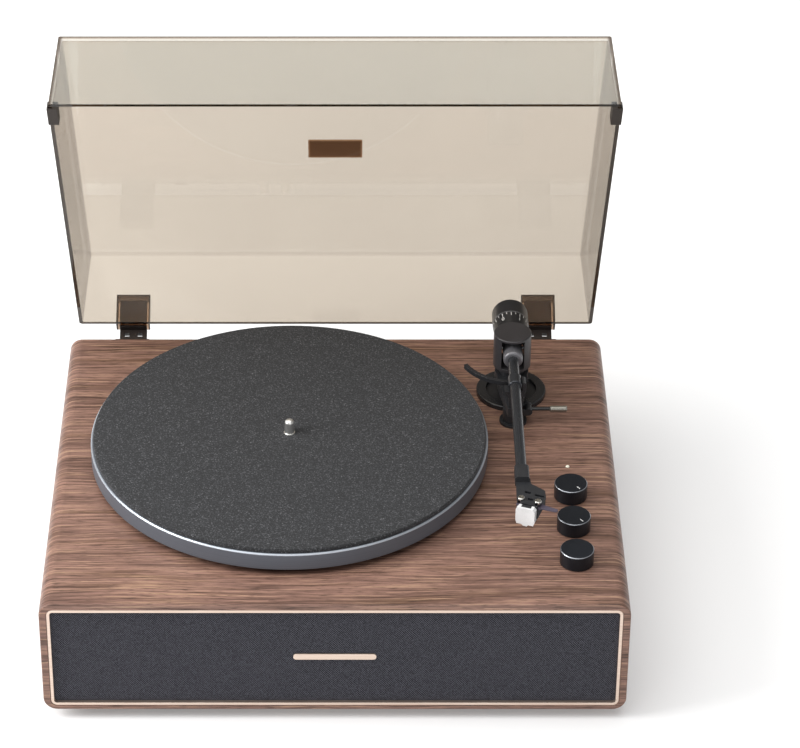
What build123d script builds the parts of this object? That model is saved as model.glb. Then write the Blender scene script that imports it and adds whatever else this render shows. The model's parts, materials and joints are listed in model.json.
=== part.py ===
from build123d import *
import os
from math import atan2, cos, degrees, radians, sin, sqrt

# A belt-driven record player in a veneered wooden cabinet, drawn with its lid open.
# Sizes are millimetres. X runs to the right, Y to the back and Z up. Everything is drawn
# about the middle of the cabinet, on the surface it stands on, and is moved as a whole at
# the end, so that the origin lies under the middle of the player with its lid open.

# Fits between pieces
SEAT_GAP = 0.1        # a fixed piece in its recess, each side
PRESS_GAP = 0.03      # a fixed round piece in its hole, radial
RUN_GAP = 0.06        # a turning or sliding round piece in its hole, radial
SWING_GAP = 0.4       # pieces that pass each other
END_GAP = 0.05        # under a shaft's end, in the bottom of its bore

# Cabinet
CABINET_W = 424.0
CABINET_D = 346.0
CABINET_H = 96.0
FOOT_H = 9.0
WALL = 9.0
EDGE_R = 10.0
EDGE_BREAK = 1.0
CAVITY_R = 2.0
RIM_SIDE = 5.2
RIM_TOP = 4.8
RIM_BOTTOM = 3.5
OPENING_R = 5.0
CLEAT = 14.0
RIGHT_X = CABINET_W / 2
FRONT_Y = -CABINET_D / 2
BACK_Y = CABINET_D / 2
DECK_Z = FOOT_H + CABINET_H
DECK_UNDER = DECK_Z - WALL
FLOOR_IN = FOOT_H + WALL
CAVITY_MID_Z = FOOT_H + CABINET_H / 2

# Front
TRIM_SETBACK = 0.3
TRIM_W = 2.5
TRIM_D = 6.7
TRIM_INNER_R = 2.2
TRIM_CHAMFER = 0.35
GRILLE_SETBACK = 2.7
BAFFLE_T = 8.0
BADGE_W = 60.0
BADGE_H = 5.0
BADGE_T = 1.2
TRIM_FACE_Y = FRONT_Y + TRIM_SETBACK
GRILLE_FACE_Y = TRIM_FACE_Y + GRILLE_SETBACK
BAFFLE_Y = TRIM_FACE_Y + TRIM_D
FRONT_REBATE_Y = BAFFLE_Y + BAFFLE_T
OPENING_W = CABINET_W - 2 * RIM_SIDE
OPENING_H = CABINET_H - RIM_TOP - RIM_BOTTOM
OPENING_Z = FOOT_H + RIM_BOTTOM + OPENING_H / 2

# Speakers behind the baffle
SPEAKER_X = RIGHT_X - 92.0
SPEAKER_R = CABINET_H / 2 - WALL - 1.0
SPEAKER_HOLE_R = SPEAKER_R - 7.0
SPEAKER_SCREW_R = SPEAKER_R - 2.4
FLANGE_T = 2.0
BASKET_D = 20.0
BASKET_T = 1.6
BASKET_WINDOW = (14.0, 8.0, 20.0)
CONE_CAP_R = 12.0
COIL_HOLE_R = 8.0
MAGNET_R = 22.0
MAGNET_D = 12.0

# Back panel and its sockets
BACK_T = 6.0
BACK_PANEL_Y = BACK_Y - BACK_T
SOCKET_Z = CAVITY_MID_Z - 12.0
DC_X = -100.0
DC_OUT = 1.2
DC_R = 5.5
DC_BORE_R = 2.8
DC_BORE_D = 10.0
DC_PIN_R = 1.05
DC_PIN_BELOW = 1.0
RCA_XS = (-60.0, -42.0)
RCA_BODY_R = 5.0
RCA_FLANGE_R = 7.0
RCA_FLANGE_T = 1.5
RCA_R = 4.15
RCA_OUT = 9.0
RCA_CENTRE_R = 1.6
AUX_X = -130.0
AUX_OUT = 2.0
AUX_R = 4.0
AUX_BORE_R = 1.8
AUX_BORE_D = 14.0

# Feet
FOOT_R = 14.0
FOOT_X = RIGHT_X - 30.0
FOOT_Y = BACK_Y - 29.0
FOOT_RECESS_R = 5.0
FOOT_RECESS_D = 5.0

# Screws
SCREW_R = 1.5
SCREW_HEAD_R = 2.5
SCREW_HEAD_H = 1.8

# Tonearm pivot, which the platter and everything of the arm keep their distance from
ARM_X = RIGHT_X - 75.2
ARM_Y = BACK_Y - 75.5
ARM_Z = DECK_Z + 41.5

# Platter and its drive
PLATTER_X = ARM_X - 171.3
PLATTER_Y = ARM_Y - 86.5
PLATTER_R = 150.0
PLATTER_H = 14.0
PLATTER_LIFT = 5.0
PLATTER_WEB = 3.5
PLATTER_RIM_T = 8.0
PLATTER_CHAMFER = 0.8
MAT_R = 148.2
MAT_T = 3.25
MAT_CHAMFER = 0.8
SPINDLE_R = 3.6
SPINDLE_SHAFT_R = 4.2
SPINDLE_TOP = 11.5
SPINDLE_DOME_R = 3.0
DISC_R = 66.0
DISC_T = 3.0
DRIVE_R = 54.0
DRIVE_T = 4.0
HUB_R = 12.0
DRIVE_UP = 4.5
BEARING_FLANGE_R = 20.0
BEARING_FLANGE_T = 2.5
BEARING_R = 9.0
BEARING_D = 39.0
BEARING_FLOOR = 4.0
BEARING_SCREW_R = 15.5
MOTOR_REACH = 75.0
MOTOR_ANGLE = 135.0
PULLEY_R = 6.0
PULLEY_FLANGE_R = 7.0
PULLEY_FLANGE_T = 1.0
PULLEY_H = 9.0
MOTOR_SHAFT_R = 1.0
MOTOR_SHAFT_IN = 7.0
MOTOR_R = 16.0
MOTOR_H = 26.5
MOTOR_BOSS_R = 4.0
MOTOR_BOSS_H = 3.0
MOTOR_FLANGE_R = 24.0
MOTOR_FLANGE_T = 1.5
MOTOR_SCREW_R = 20.0
GROMMET_R = 4.0
GROMMET_H = 4.0
BELT_W = 5.0
BELT_T = 0.8
PLATTER_BOTTOM = DECK_Z + PLATTER_LIFT
PLATTER_TOP = PLATTER_BOTTOM + PLATTER_H
WEB_UNDER = PLATTER_TOP - PLATTER_WEB
DISC_UNDER = WEB_UNDER - DISC_T
MAT_TOP = PLATTER_TOP + MAT_T
SPINDLE_END = MAT_TOP + SPINDLE_TOP
DRIVE_BOTTOM = DECK_Z + DRIVE_UP
BEARING_BOTTOM = DECK_Z - BEARING_D
MOTOR_X = PLATTER_X + MOTOR_REACH * cos(radians(MOTOR_ANGLE))
MOTOR_Y = PLATTER_Y + MOTOR_REACH * sin(radians(MOTOR_ANGLE))
MOTOR_FLANGE_Z = DECK_UNDER - GROMMET_H - MOTOR_FLANGE_T
BELT_Z = DRIVE_BOTTOM + (PULLEY_H - BELT_W) / 2

# Amplifier board on the cabinet's floor, and its parts as (from left, from front, width, depth, height)
BOARD_W = 110.0
BOARD_D = 80.0
BOARD_T = 1.6
BOARD_X = 97.0 - RIGHT_X
BOARD_Y = BACK_Y - 68.0
BOARD_LEFT = BOARD_X - BOARD_W / 2
BOARD_FRONT = BOARD_Y - BOARD_D / 2
HEAT_SINK = (10.0, 5.0, 40.0, 12.0, 22.0)
SINK_BASE_T = 4.0
SINK_BACK_T = 3.0
FIN_GAPS = 6
FIN_PITCH = 6.4
FIN_GAP_W = 3.0
HEADER = (60.0, 55.0, 40.0, 8.0, 9.0)
CAPACITOR_R = 8.0
CAPACITOR_H = 20.0
CAPACITORS = ((75.0, 20.0), (95.0, 20.0))
STANDOFF_H = 6.0
STANDOFF_R = 3.0
STANDOFF_INSET = 6.0

# Knobs, the controls under them and the pilot light
KNOB_X = RIGHT_X - 36.5
KNOB_YS = (FRONT_Y + 132.2, FRONT_Y + 91.6, FRONT_Y + 50.8)
KNOB_R = 12.3
KNOB_H = 11.8
KNOB_LIFT = 0.7
KNOB_CHAMFER = 0.7
KNOB_CAP = 2.5
KNOB_POCKET_R = 8.6
KNOB_POCKET_D = 4.0
POINTER_ANGLE = -51.0
POINTER_L = 4.2
POINTER_W = 0.8
POINTER_D = 0.35
POINTER_INSET = 1.6
POT_W = 16.0
POT_D = 10.0
POT_FLOOR_T = 2.0
BUSHING_R = 4.5
BUSHING_UP = 2.6
POT_SHAFT_R = 3.0
NUT_R = 6.6
NUT_T = 2.0
PUSH = 1.0
PLUNGER_R = 4.5
PLUNGER_T = 2.0
PLUNGER_GAP = 0.2
LED_Y = FRONT_Y + 170.2
LED_R = 1.5
LED_UP = 0.8
KNOB_Z = DECK_Z + KNOB_LIFT
KNOB_TOP = KNOB_Z + KNOB_H
POT_FLOOR = DECK_UNDER - POT_D + POT_FLOOR_T

# Tonearm, measured from its pivot
BASE_RING_R = 27.0
BASE_RING_BORE_R = 19.6
BASE_RING_H = 4.0
BASE_RING_ROUND = 1.2
PILLAR_R = 10.0
PILLAR_FOOT_H = 1.5
PILLAR_TAIL_R = 8.0
PILLAR_TAIL_D = 21.0
PILLAR_FLOOR = 4.0
PILLAR_NUT_R = 14.0
PILLAR_NUT_T = 4.0
YOKE_R = 14.5
YOKE_BOTTOM = ARM_Z - 14.5
YOKE_TOP = ARM_Z + 14.5
YOKE_SLOT_W = 17.3
YOKE_FLOOR = 2.5
YOKE_ROOF = 2.0
YOKE_CHAMFER = 0.6
SHAFT_R = 3.0
AXLE_R = 1.5
AXLE_L = 27.0
COLLAR_R = 7.5
COLLAR_FRONT = 18.5
COLLAR_BACK = 10.5
COLLAR_ROUND = 2.0
TUBE_R = 4.0
TUBE_BORE_R = 3.2
TUBE_INSERT = 12.0
TUBE_END_Y = ARM_Y - 171.5
BAND_R = 5.2
BAND_Y = ARM_Y - 48.0
BAND_W = 12.0
STUB_END_Y = ARM_Y + 44.0
TUBE_BOTTOM = ARM_Z - TUBE_R

# Counterweight
WEIGHT_R = 14.0
WEIGHT_Y = ARM_Y + 32.0
WEIGHT_L = 16.1
WEIGHT_CAP = 1.6
WEIGHT_ROUND = 1.2
WEIGHT_BOSS_R = 8.0
DIAL_Y = ARM_Y + 16.1
DIAL_FRONT_R = 11.8
DIAL_LIP = 1.5
INSERT_R = 5.5
INSERT_L = 24.0
INSERT_Y = DIAL_Y + 2.4
THREAD_PITCH = 2.0

# Arm rest and cue lift
REST_BOTTOM = DECK_Z + 13.0
REST_T = 8.0
REST_BACK_W = 24.0
REST_MID_W = 22.5
REST_MID_Y = ARM_Y - 15.5
REST_FRONT_W = 9.6
REST_FRONT_Y = ARM_Y - 53.5
REST_RING_R = 13.0
HOOK_L = 9.0
HOOK_SADDLE_T = 3.0
HOOK_WALL_T = 2.6
HOOK_WALL_TOP = ARM_Z + 2.5
HOOK_LIP = 7.6
HOOK_SLOPE = 4.0
LIFT_Y = ARM_Y - 39.8
LIFT_FOOT_R = 10.5
LIFT_FOOT_H = 2.0
LIFT_COLUMN_R = 8.0
LIFT_TAIL_R = 5.0
LIFT_TAIL_D = 12.0
LIFT_FLOOR = 3.0
LIFT_POST_R = 2.0
LIFT_STROKE = 1.52
LIFT_BAR_T = 3.5
LIFT_BAR_W = 3.0
LIFT_BAR_ANGLES = (204.0, 273.0)
LEVER_X = ARM_X + 11.4
LEVER_Z = REST_BOTTOM - 1.5
LEVER_HUB_R = 2.8
LEVER_HUB_W = 5.0
LEVER_ROD_R = 1.5
LEVER_GRIP_X = LEVER_X + 17.5
LEVER_GRIP_R = 2.4
LEVER_TIP_X = LEVER_GRIP_X + 12.3
LEVER_PIN_R = 1.0
LEVER_EAR_T = 2.2
LEVER_EAR_R = 3.0
LEVER_EAR_GAP = 0.3
REST_TOP = REST_BOTTOM + REST_T
SADDLE_Z = ARM_Z - BAND_R - SWING_GAP
LIFT_R = ARM_Y - LIFT_Y
LIFT_BAR_TOP = TUBE_BOTTOM - SWING_GAP
LIFT_ANGLE = degrees(LIFT_STROKE / LIFT_R)

# Headshell and cartridge. The outline's points are measured from the pivot, the slots' from the screws.
HEAD_COLLAR_Y = ARM_Y - 162.0
HEAD_COLLAR_L = 15.5
HEAD_COLLAR_W = 10.6
HEAD_COLLAR_ROUND = 2.2
HEAD_COLLAR_Z = (ARM_Z - 4.9, ARM_Z + 4.5)
HEAD_Z = ARM_Z - 3.1
HEAD_T = 2.8
HEAD_OUTLINE = ((-4.6, -173.5), (6.0, -173.5), (6.2, -179.5), (16.0, -188.2), (16.3, -195.7), (9.2, -208.0),
                (-1.4, -203.1), (-4.9, -199.4))
HEAD_ANGLE = -20.2
HEAD_X = ARM_X + 4.2
HEAD_Y = ARM_Y - 200.5
HEAD_SCREWS = 12.7
HEAD_SLOT_L = 7.0
HEAD_SLOT_R = 1.5
HEAD_SLOT_SHIFT = -1.0
HEAD_WINDOWS = ((-6.5, -2.0, 8.0, 10.5), (1.5, 8.5, 7.0, 9.2), (-2.0, 2.2, 0.5, 3.0))
FINGER_T = 1.2
FINGER_PLATE = (9.0, 3.6)
FINGER_TIP = 21.8
FINGER_ROOT_W = 5.0
FINGER_TIP_W = 2.6
BODY_W = 16.4
BODY_BACK = 13.0
BODY_FRONT = 5.4
BODY_H = 9.2
BODY_STEP_H = 2.6
BODY_STEP_SIDE = 1.2
BODY_STEP_BACK = 3.0
NOSE_W = 7.2
NOSE_L = 3.2
NOSE_H = 7.0
STYLUS_W = 14.4
STYLUS_T = 4.8
STYLUS_GAP = 0.2
STYLUS_Z = (ARM_Z - 16.0, ARM_Z - 0.7)
STYLUS_KEEL_W = 9.0
STYLUS_KEEL_BACK = 8.0
STYLUS_TIP_Z = ARM_Z - 18.1
STYLUS_TIP_R = 0.15
STYLUS_ROOT_R = 0.6
STYLUS_TIP_REACH = 6.2
CANTILEVER = (0.9, 9.0, 1.0)
CART_SCREW_R = 1.2
CART_SCREW_HEAD_R = 2.6
CART_SCREW_HEAD_H = 1.7
CART_SCREW_L = 8.0
CART_TOP = HEAD_Z - FINGER_T

# Lid, given as it lies closed
LID_W = 410.6
LID_D = 333.8
LID_H = 61.7
LID_DRAFT = 5.15
LID_WALL = 2.8
LID_CORNER_R = 3.0
LID_EDGE_R = 0.9
LID_BACK_Y = BACK_Y - 6.0
LID_GAP = 1.5
LID_ANGLE = 61.0
LID_BADGE_W = 41.3
LID_BADGE_D = 25.2
LID_BADGE_T = 1.0
LID_BADGE_FROM_BACK = 169.0
LID_BADGE_ROUND = 1.0
BUMPER_L = 21.0
BUMPER_FROM_FRONT = 5.0
BUMPER_OUT = 1.0
BUMPER_IN = 3.8
BUMPER_H = 5.5
BUMPER_UNDER = 1.2
LID_Z = DECK_Z + LID_GAP
LID_FRONT_Y = LID_BACK_Y - LID_D
LID_LEAN = LID_DRAFT / LID_H

# Hinges
HINGE_X = RIGHT_X - 49.5
HINGE_W = 27.0
HINGE_BACK = 7.2
HINGE_DROP = 12.7
HINGE_PIN_R = 2.0
HINGE_BARREL_R = 5.2
HINGE_ARM_W = 21.6
HINGE_ARM_T = 4.0
HINGE_NECK_T = 5.0
HINGE_NECK_BACK = 3.2
HINGE_TONGUE_L = 22.8
HINGE_TONGUE_BACK = 3.5
HINGE_WINDOW = (4.0, 3.0)
HINGE_WINDOW_X = 5.2
HINGE_PLATE_T = 1.5
HINGE_EAR_GAP = 0.2
HINGE_SCREW_X = 6.5
POCKET_H = 25.5
POCKET_BACK = 10.0
POCKET_CHAMFER = 1.5
POCKET_GLUE = 0.05
PIN_Y = BACK_Y + HINGE_BACK
PIN_Z = DECK_Z - HINGE_DROP
HINGE_PLATE_Z = (PIN_Z - 9.3, PIN_Z + 11.7)
HINGE_TURN_Z = LID_Z - 0.3
TONGUE_Y = LID_BACK_Y + HINGE_TONGUE_BACK


def box(x0, x1, y0, y1, z0, z1):
    return Pos((x0 + x1) / 2, (y0 + y1) / 2, (z0 + z1) / 2) * Box(x1 - x0, y1 - y0, z1 - z0)


def upright(x, y, z0, z1, r):
    """A round bar along Z."""
    return Pos(x, y, (z0 + z1) / 2) * Cylinder(r, z1 - z0)


def across(x0, x1, y, z, r):
    """A round bar along X."""
    return Pos((x0 + x1) / 2, y, z) * Rot(0, 90, 0) * Cylinder(r, x1 - x0)


def lengthways(x, y0, y1, z, r):
    """A round bar along Y."""
    return Pos(x, (y0 + y1) / 2, z) * Rot(90, 0, 0) * Cylinder(r, y1 - y0)


def plate(outline, z0, z1):
    """A plate from an outline of (x, y) points."""
    face = make_face(Polyline([(x, y, z0) for x, y in outline], close=True))
    return extrude(face, amount=z1 - z0, dir=(0, 0, 1))


def side_profile(outline, x0, x1):
    """A bar along X from an outline of (y, z) points."""
    face = make_face(Polyline([(x0, y, z) for y, z in outline], close=True))
    return extrude(face, amount=x1 - x0, dir=(1, 0, 0))


def front_profile(outline, y0, y1):
    """A bar along Y from an outline of (x, z) points."""
    face = make_face(Polyline([(x, y0, z) for x, z in outline], close=True))
    return extrude(face, amount=y1 - y0, dir=(0, 1, 0))


def turned(outline, x, y, z=0):
    """A turned piece about Z from (radius, height) points."""
    face = make_face(Polyline([(r, 0, h) for r, h in outline], close=True))
    return Pos(x, y, z) * revolve(face, Axis.Z)


def turned_lengthways(outline, x, z):
    """A turned piece about Y from (radius, y) points."""
    face = make_face(Polyline([(r, y, 0) for r, y in outline], close=True))
    return Pos(x, 0, z) * revolve(face, Axis.Y)


def tube_frame(width, height, radius, y0, y1, z):
    """A rounded rectangle in the front view, carried from y0 back to y1."""
    face = Pos(0, y0, z) * Rot(90, 0, 0) * RectangleRounded(width, height, radius)
    return extrude(face, amount=y1 - y0, dir=(0, 1, 0))


def screw(at, direction, length, radius=SCREW_R, head_r=SCREW_HEAD_R, head_h=SCREW_HEAD_H):
    """A round-headed screw with a cross in its head, whose head is seated at a point."""
    shank = Pos(0, 0, length / 2) * Cylinder(radius, length)
    head = Pos(0, 0, -head_h / 2) * Cylinder(head_r, head_h)
    head = fillet(head.edges().group_by(Axis.Z)[0], head_h * 0.4)
    cross = Box(head_r * 1.1, head_r * 0.25, head_h) + Box(head_r * 0.25, head_r * 1.1, head_h)
    return Plane(origin=at, z_dir=direction) * (shank + head - Pos(0, 0, -head_h) * cross)


def screw_hole(at, direction, length, radius=SCREW_R):
    depth = length + 2 * SEAT_GAP
    return Plane(origin=at, z_dir=direction) * (Pos(0, 0, depth / 2) * Cylinder(radius + PRESS_GAP, depth))


def ring_points(x, y, radius, count, start=0.0):
    angles = [radians(start + 360 * i / count) for i in range(count)]
    return [(x + radius * cos(a), y + radius * sin(a)) for a in angles]


def pick(solid, axis, index):
    """The edges lying furthest along an axis (index -1) or nearest (index 0)."""
    return solid.edges().group_by(axis)[index]


# Where the screws go: each row is a seat, a direction and a length
FOOT_PLACES = [(sx * FOOT_X, sy * FOOT_Y) for sx in (-1, 1) for sy in (-1, 1)]
FOOT_SCREW_L = FOOT_H - FOOT_RECESS_D + WALL * 0.75
FOOT_SCREWS = [((x, y, FOOT_RECESS_D), (0, 0, 1), FOOT_SCREW_L) for x, y in FOOT_PLACES]
CLEAT_X = CABINET_W / 2 - WALL - CLEAT / 2
CLEAT_ZS = (FLOOR_IN + CLEAT / 2, DECK_UNDER - CLEAT / 2)
BACK_SCREWS = [((sx * CLEAT_X, BACK_Y, z), (0, -1, 0), BACK_T + 8.0) for sx in (-1, 1) for z in CLEAT_ZS]
SPEAKER_SCREWS = [
    ((x, BAFFLE_Y + BAFFLE_T + FLANGE_T, z), (0, -1, 0), FLANGE_T + BAFFLE_T * 0.6)
    for side in (-1, 1)
    for x, z in ring_points(side * SPEAKER_X, CAVITY_MID_Z, SPEAKER_SCREW_R, 4, 45)
]
BEARING_SCREWS = [
    ((x, y, DECK_Z + BEARING_FLANGE_T), (0, 0, -1), BEARING_FLANGE_T + WALL * 0.75)
    for x, y in ring_points(PLATTER_X, PLATTER_Y, BEARING_SCREW_R, 3, 90)
]
MOTOR_SCREWS = [
    ((x, y, MOTOR_FLANGE_Z), (0, 0, 1), MOTOR_FLANGE_T + GROMMET_H + WALL * 0.65)
    for x, y in ring_points(MOTOR_X, MOTOR_Y, MOTOR_SCREW_R, 3, MOTOR_ANGLE)
]
HINGE_SCREW_Z = HINGE_PLATE_Z[0] + 3.45
HINGE_SCREWS = [
    ((side * HINGE_X + dx, BACK_Y + HINGE_PLATE_T, HINGE_SCREW_Z), (0, -1, 0), BACK_T * 0.9)
    for side in (-1, 1)
    for dx in (-HINGE_SCREW_X, HINGE_SCREW_X)
]
CASE_SCREWS = BACK_SCREWS + SPEAKER_SCREWS + BEARING_SCREWS + MOTOR_SCREWS


def drill(solid, screws):
    for at, direction, length in screws:
        solid -= screw_hole(at, direction, length)
    return solid


def screws_of(rows):
    return [screw(at, direction, length) for at, direction, length in rows]


def opening_fill(gap, y0, y1):
    """What fills the front or back opening of the cabinet, less a gap all round."""
    return tube_frame(OPENING_W - 2 * gap, OPENING_H - 2 * gap, OPENING_R - gap, y0, y1, OPENING_Z)


def make_cabinet_shell():
    shell = tube_frame(CABINET_W, CABINET_H, EDGE_R, FRONT_Y, BACK_Y, CAVITY_MID_Z)
    shell = fillet(pick(shell, Axis.Y, 0) + pick(shell, Axis.Y, -1), EDGE_BREAK)
    shell -= tube_frame(CABINET_W - 2 * WALL, CABINET_H - 2 * WALL, CAVITY_R, FRONT_Y, BACK_Y, CAVITY_MID_Z)
    shell -= opening_fill(0, FRONT_Y - 1, FRONT_REBATE_Y)
    shell -= opening_fill(0, BACK_PANEL_Y, BACK_Y + 1)
    for side in (-1, 1):
        for z in CLEAT_ZS:
            shell += Pos(side * CLEAT_X, BACK_PANEL_Y - CLEAT / 2, z) * Box(CLEAT, CLEAT, CLEAT)
    deck_holes = [
        (PLATTER_X, PLATTER_Y, BEARING_R + PRESS_GAP),
        (MOTOR_X, MOTOR_Y, PULLEY_FLANGE_R + 2),
        (ARM_X, ARM_Y, PILLAR_TAIL_R + PRESS_GAP),
        (ARM_X, LIFT_Y, LIFT_TAIL_R + PRESS_GAP),
        (KNOB_X, LED_Y, LED_R + PRESS_GAP),
    ]
    deck_holes += [(KNOB_X, y, BUSHING_R + PRESS_GAP) for y in KNOB_YS]
    for x, y, r in deck_holes:
        shell -= upright(x, y, DECK_UNDER - 1, DECK_Z + 1, r)
    return drill(shell, FOOT_SCREWS + BACK_SCREWS + BEARING_SCREWS + MOTOR_SCREWS)


def make_front_baffle():
    baffle = opening_fill(SEAT_GAP, BAFFLE_Y, FRONT_REBATE_Y)
    for side in (-1, 1):
        baffle -= lengthways(side * SPEAKER_X, BAFFLE_Y - 1, FRONT_REBATE_Y + 1, CAVITY_MID_Z, SPEAKER_HOLE_R)
    return drill(baffle, SPEAKER_SCREWS)


def make_grille_trim():
    outer = opening_fill(SEAT_GAP, TRIM_FACE_Y, BAFFLE_Y)
    outer = chamfer(pick(outer, Axis.Y, 0), TRIM_CHAMFER)
    width = OPENING_W - 2 * (SEAT_GAP + TRIM_W)
    height = OPENING_H - 2 * (SEAT_GAP + TRIM_W)
    return outer - tube_frame(width, height, TRIM_INNER_R, TRIM_FACE_Y - 1, BAFFLE_Y + 1, OPENING_Z)


def make_grille_cloth():
    width = OPENING_W - 2 * (2 * SEAT_GAP + TRIM_W)
    height = OPENING_H - 2 * (2 * SEAT_GAP + TRIM_W)
    return tube_frame(width, height, TRIM_INNER_R, GRILLE_FACE_Y, BAFFLE_Y, OPENING_Z)


def make_grille_badge():
    bar = box(-BADGE_W / 2, BADGE_W / 2, GRILLE_FACE_Y - BADGE_T, GRILLE_FACE_Y, OPENING_Z - BADGE_H / 2,
              OPENING_Z + BADGE_H / 2)
    return fillet(bar.edges().filter_by(Axis.Y), BADGE_H * 0.45)


def make_speaker(side):
    """The basket, cone and magnet of one loudspeaker, behind the baffle."""
    y0 = FRONT_REBATE_Y
    y1 = y0 + BASKET_D
    x = side * SPEAKER_X
    neck = MAGNET_R + 1
    rim = SPEAKER_HOLE_R + 0.3
    basket = turned_lengthways([
        (SPEAKER_R, y0), (SPEAKER_R, y0 + FLANGE_T), (rim + BASKET_T, y0 + FLANGE_T), (neck, y1 - BASKET_T),
        (neck, y1), (COIL_HOLE_R, y1), (COIL_HOLE_R, y1 - BASKET_T), (neck - BASKET_T, y1 - BASKET_T),
        (rim, y0 + FLANGE_T), (rim, y0),
    ], x, CAVITY_MID_Z)
    for i in range(4):
        window = Pos(x, y0 + BASKET_D * 0.55, CAVITY_MID_Z) * Rot(0, 90 * i, 0)
        basket -= window * Pos(MAGNET_R + 4, 0, 0) * Box(*BASKET_WINDOW)
    basket = drill(basket, SPEAKER_SCREWS)
    edge = rim - 0.3
    # The cone goes back to the coil, and its round cap bulges out from there
    cone = turned_lengthways([
        (edge, y0 + 0.8), (CONE_CAP_R, y1 - 6), (0, y1 - 6), (0, y1 - 10), (CONE_CAP_R / 2, y1 - 9),
        (CONE_CAP_R - 1, y1 - 7.4), (edge - 1.6, y0), (edge, y0),
    ], x, CAVITY_MID_Z)
    magnet = lengthways(x, y1, y1 + MAGNET_D, CAVITY_MID_Z, MAGNET_R)
    magnet = chamfer(pick(magnet, Axis.Y, -1), 1)
    return basket, cone, magnet


def make_back_panel():
    panel = opening_fill(SEAT_GAP, BACK_PANEL_Y, BACK_Y)
    sockets = [(DC_X, DC_R), (AUX_X, AUX_R)] + [(x, RCA_BODY_R) for x in RCA_XS]
    for x, r in sockets:
        panel -= lengthways(x, BACK_PANEL_Y - 1, BACK_Y + 1, SOCKET_Z, r + SEAT_GAP)
    return drill(panel, BACK_SCREWS + HINGE_SCREWS)


def make_dc_inlet():
    face = BACK_Y + DC_OUT
    half = DC_R + 1.5
    barrel = lengthways(DC_X, BACK_PANEL_Y - 8, face, SOCKET_Z, DC_R)
    flange = box(DC_X - half, DC_X + half, BACK_PANEL_Y - 4, BACK_PANEL_Y, SOCKET_Z - half, SOCKET_Z + half)
    collar = lengthways(DC_X, BACK_Y, face, SOCKET_Z, DC_R + 1)
    floor = face - DC_BORE_D
    inlet = barrel + flange + collar - lengthways(DC_X, floor, face + 1, SOCKET_Z, DC_BORE_R)
    return inlet + lengthways(DC_X, floor - 0.5, face - DC_PIN_BELOW, SOCKET_Z, DC_PIN_R)


def make_rca_sockets():
    sockets = []
    for x in RCA_XS:
        jack = lengthways(x, BACK_PANEL_Y - 5, BACK_Y, SOCKET_Z, RCA_BODY_R)
        jack += lengthways(x, BACK_PANEL_Y - 3, BACK_PANEL_Y, SOCKET_Z, RCA_FLANGE_R)
        jack += lengthways(x, BACK_Y, BACK_Y + RCA_FLANGE_T, SOCKET_Z, RCA_FLANGE_R)
        jack += lengthways(x, BACK_Y, BACK_Y + RCA_OUT, SOCKET_Z, RCA_R)
        jack -= lengthways(x, BACK_Y + 1, BACK_Y + RCA_OUT + 1, SOCKET_Z, RCA_CENTRE_R)
        sockets.append(jack)
    return sockets


def make_aux_socket():
    face = BACK_Y + AUX_OUT
    half = AUX_R + 2
    jack = lengthways(AUX_X, BACK_PANEL_Y - 12, face, SOCKET_Z, AUX_R)
    jack += box(AUX_X - half, AUX_X + half, BACK_PANEL_Y - 10, BACK_PANEL_Y, SOCKET_Z - half, SOCKET_Z + half)
    jack += lengthways(AUX_X, BACK_Y, face, SOCKET_Z, AUX_R + 1.5)
    return jack - lengthways(AUX_X, face - AUX_BORE_D, face + 1, SOCKET_Z, AUX_BORE_R)


def make_feet():
    feet = []
    for x, y in FOOT_PLACES:
        foot = upright(x, y, 0, FOOT_H, FOOT_R)
        foot = chamfer(pick(foot, Axis.Z, 0), 1.5)
        foot -= upright(x, y, -1, FOOT_RECESS_D, FOOT_RECESS_R)
        feet.append(drill(foot, FOOT_SCREWS))
    return feet


def on_board(from_left, from_front, width, depth, height, lift=0.0):
    """A block standing on the amplifier board, placed from the board's front left corner."""
    x = BOARD_LEFT + from_left
    y = BOARD_FRONT + from_front
    top = FLOOR_IN + STANDOFF_H + BOARD_T
    return box(x, x + width, y, y + depth, top + lift, top + height)


def make_board():
    """The amplifier board with its heat sink, two capacitors and a header."""
    z = FLOOR_IN + STANDOFF_H
    top = z + BOARD_T
    board = Pos(BOARD_X, BOARD_Y, z + BOARD_T / 2) * Box(BOARD_W, BOARD_D, BOARD_T)
    left, front, _, depth, height = HEAT_SINK
    sink = on_board(*HEAT_SINK)
    for i in range(FIN_GAPS):
        fin_gap = left + SINK_BACK_T + FIN_PITCH * i
        sink -= on_board(fin_gap, front + SINK_BACK_T, FIN_GAP_W, depth, height + 1, SINK_BASE_T)
    parts = [board, sink, on_board(*HEADER)]
    for from_left, from_front in CAPACITORS:
        cap = upright(BOARD_LEFT + from_left, BOARD_FRONT + from_front, top, top + CAPACITOR_H, CAPACITOR_R)
        parts.append(fillet(pick(cap, Axis.Z, -1), 1))
    return parts


def make_standoffs():
    spread_x = BOARD_W / 2 - STANDOFF_INSET
    spread_y = BOARD_D / 2 - STANDOFF_INSET
    return [
        upright(BOARD_X + sx * spread_x, BOARD_Y + sy * spread_y, FLOOR_IN, FLOOR_IN + STANDOFF_H, STANDOFF_R)
        for sx in (-1, 1)
        for sy in (-1, 1)
    ]


def make_pot(y, cavity=0.0):
    """A pot or encoder hung under the deck by its threaded bushing."""
    case = Pos(KNOB_X, y, DECK_UNDER - POT_D / 2) * Box(POT_W, POT_W, POT_D)
    case += upright(KNOB_X, y, DECK_UNDER, DECK_Z + BUSHING_UP, BUSHING_R)
    case -= upright(KNOB_X, y, POT_FLOOR, DECK_Z + BUSHING_UP + 1, POT_SHAFT_R + RUN_GAP)
    if cavity:
        case -= upright(KNOB_X, y, POT_FLOOR, POT_FLOOR + cavity, PLUNGER_R + SWING_GAP)
    return case


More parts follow.
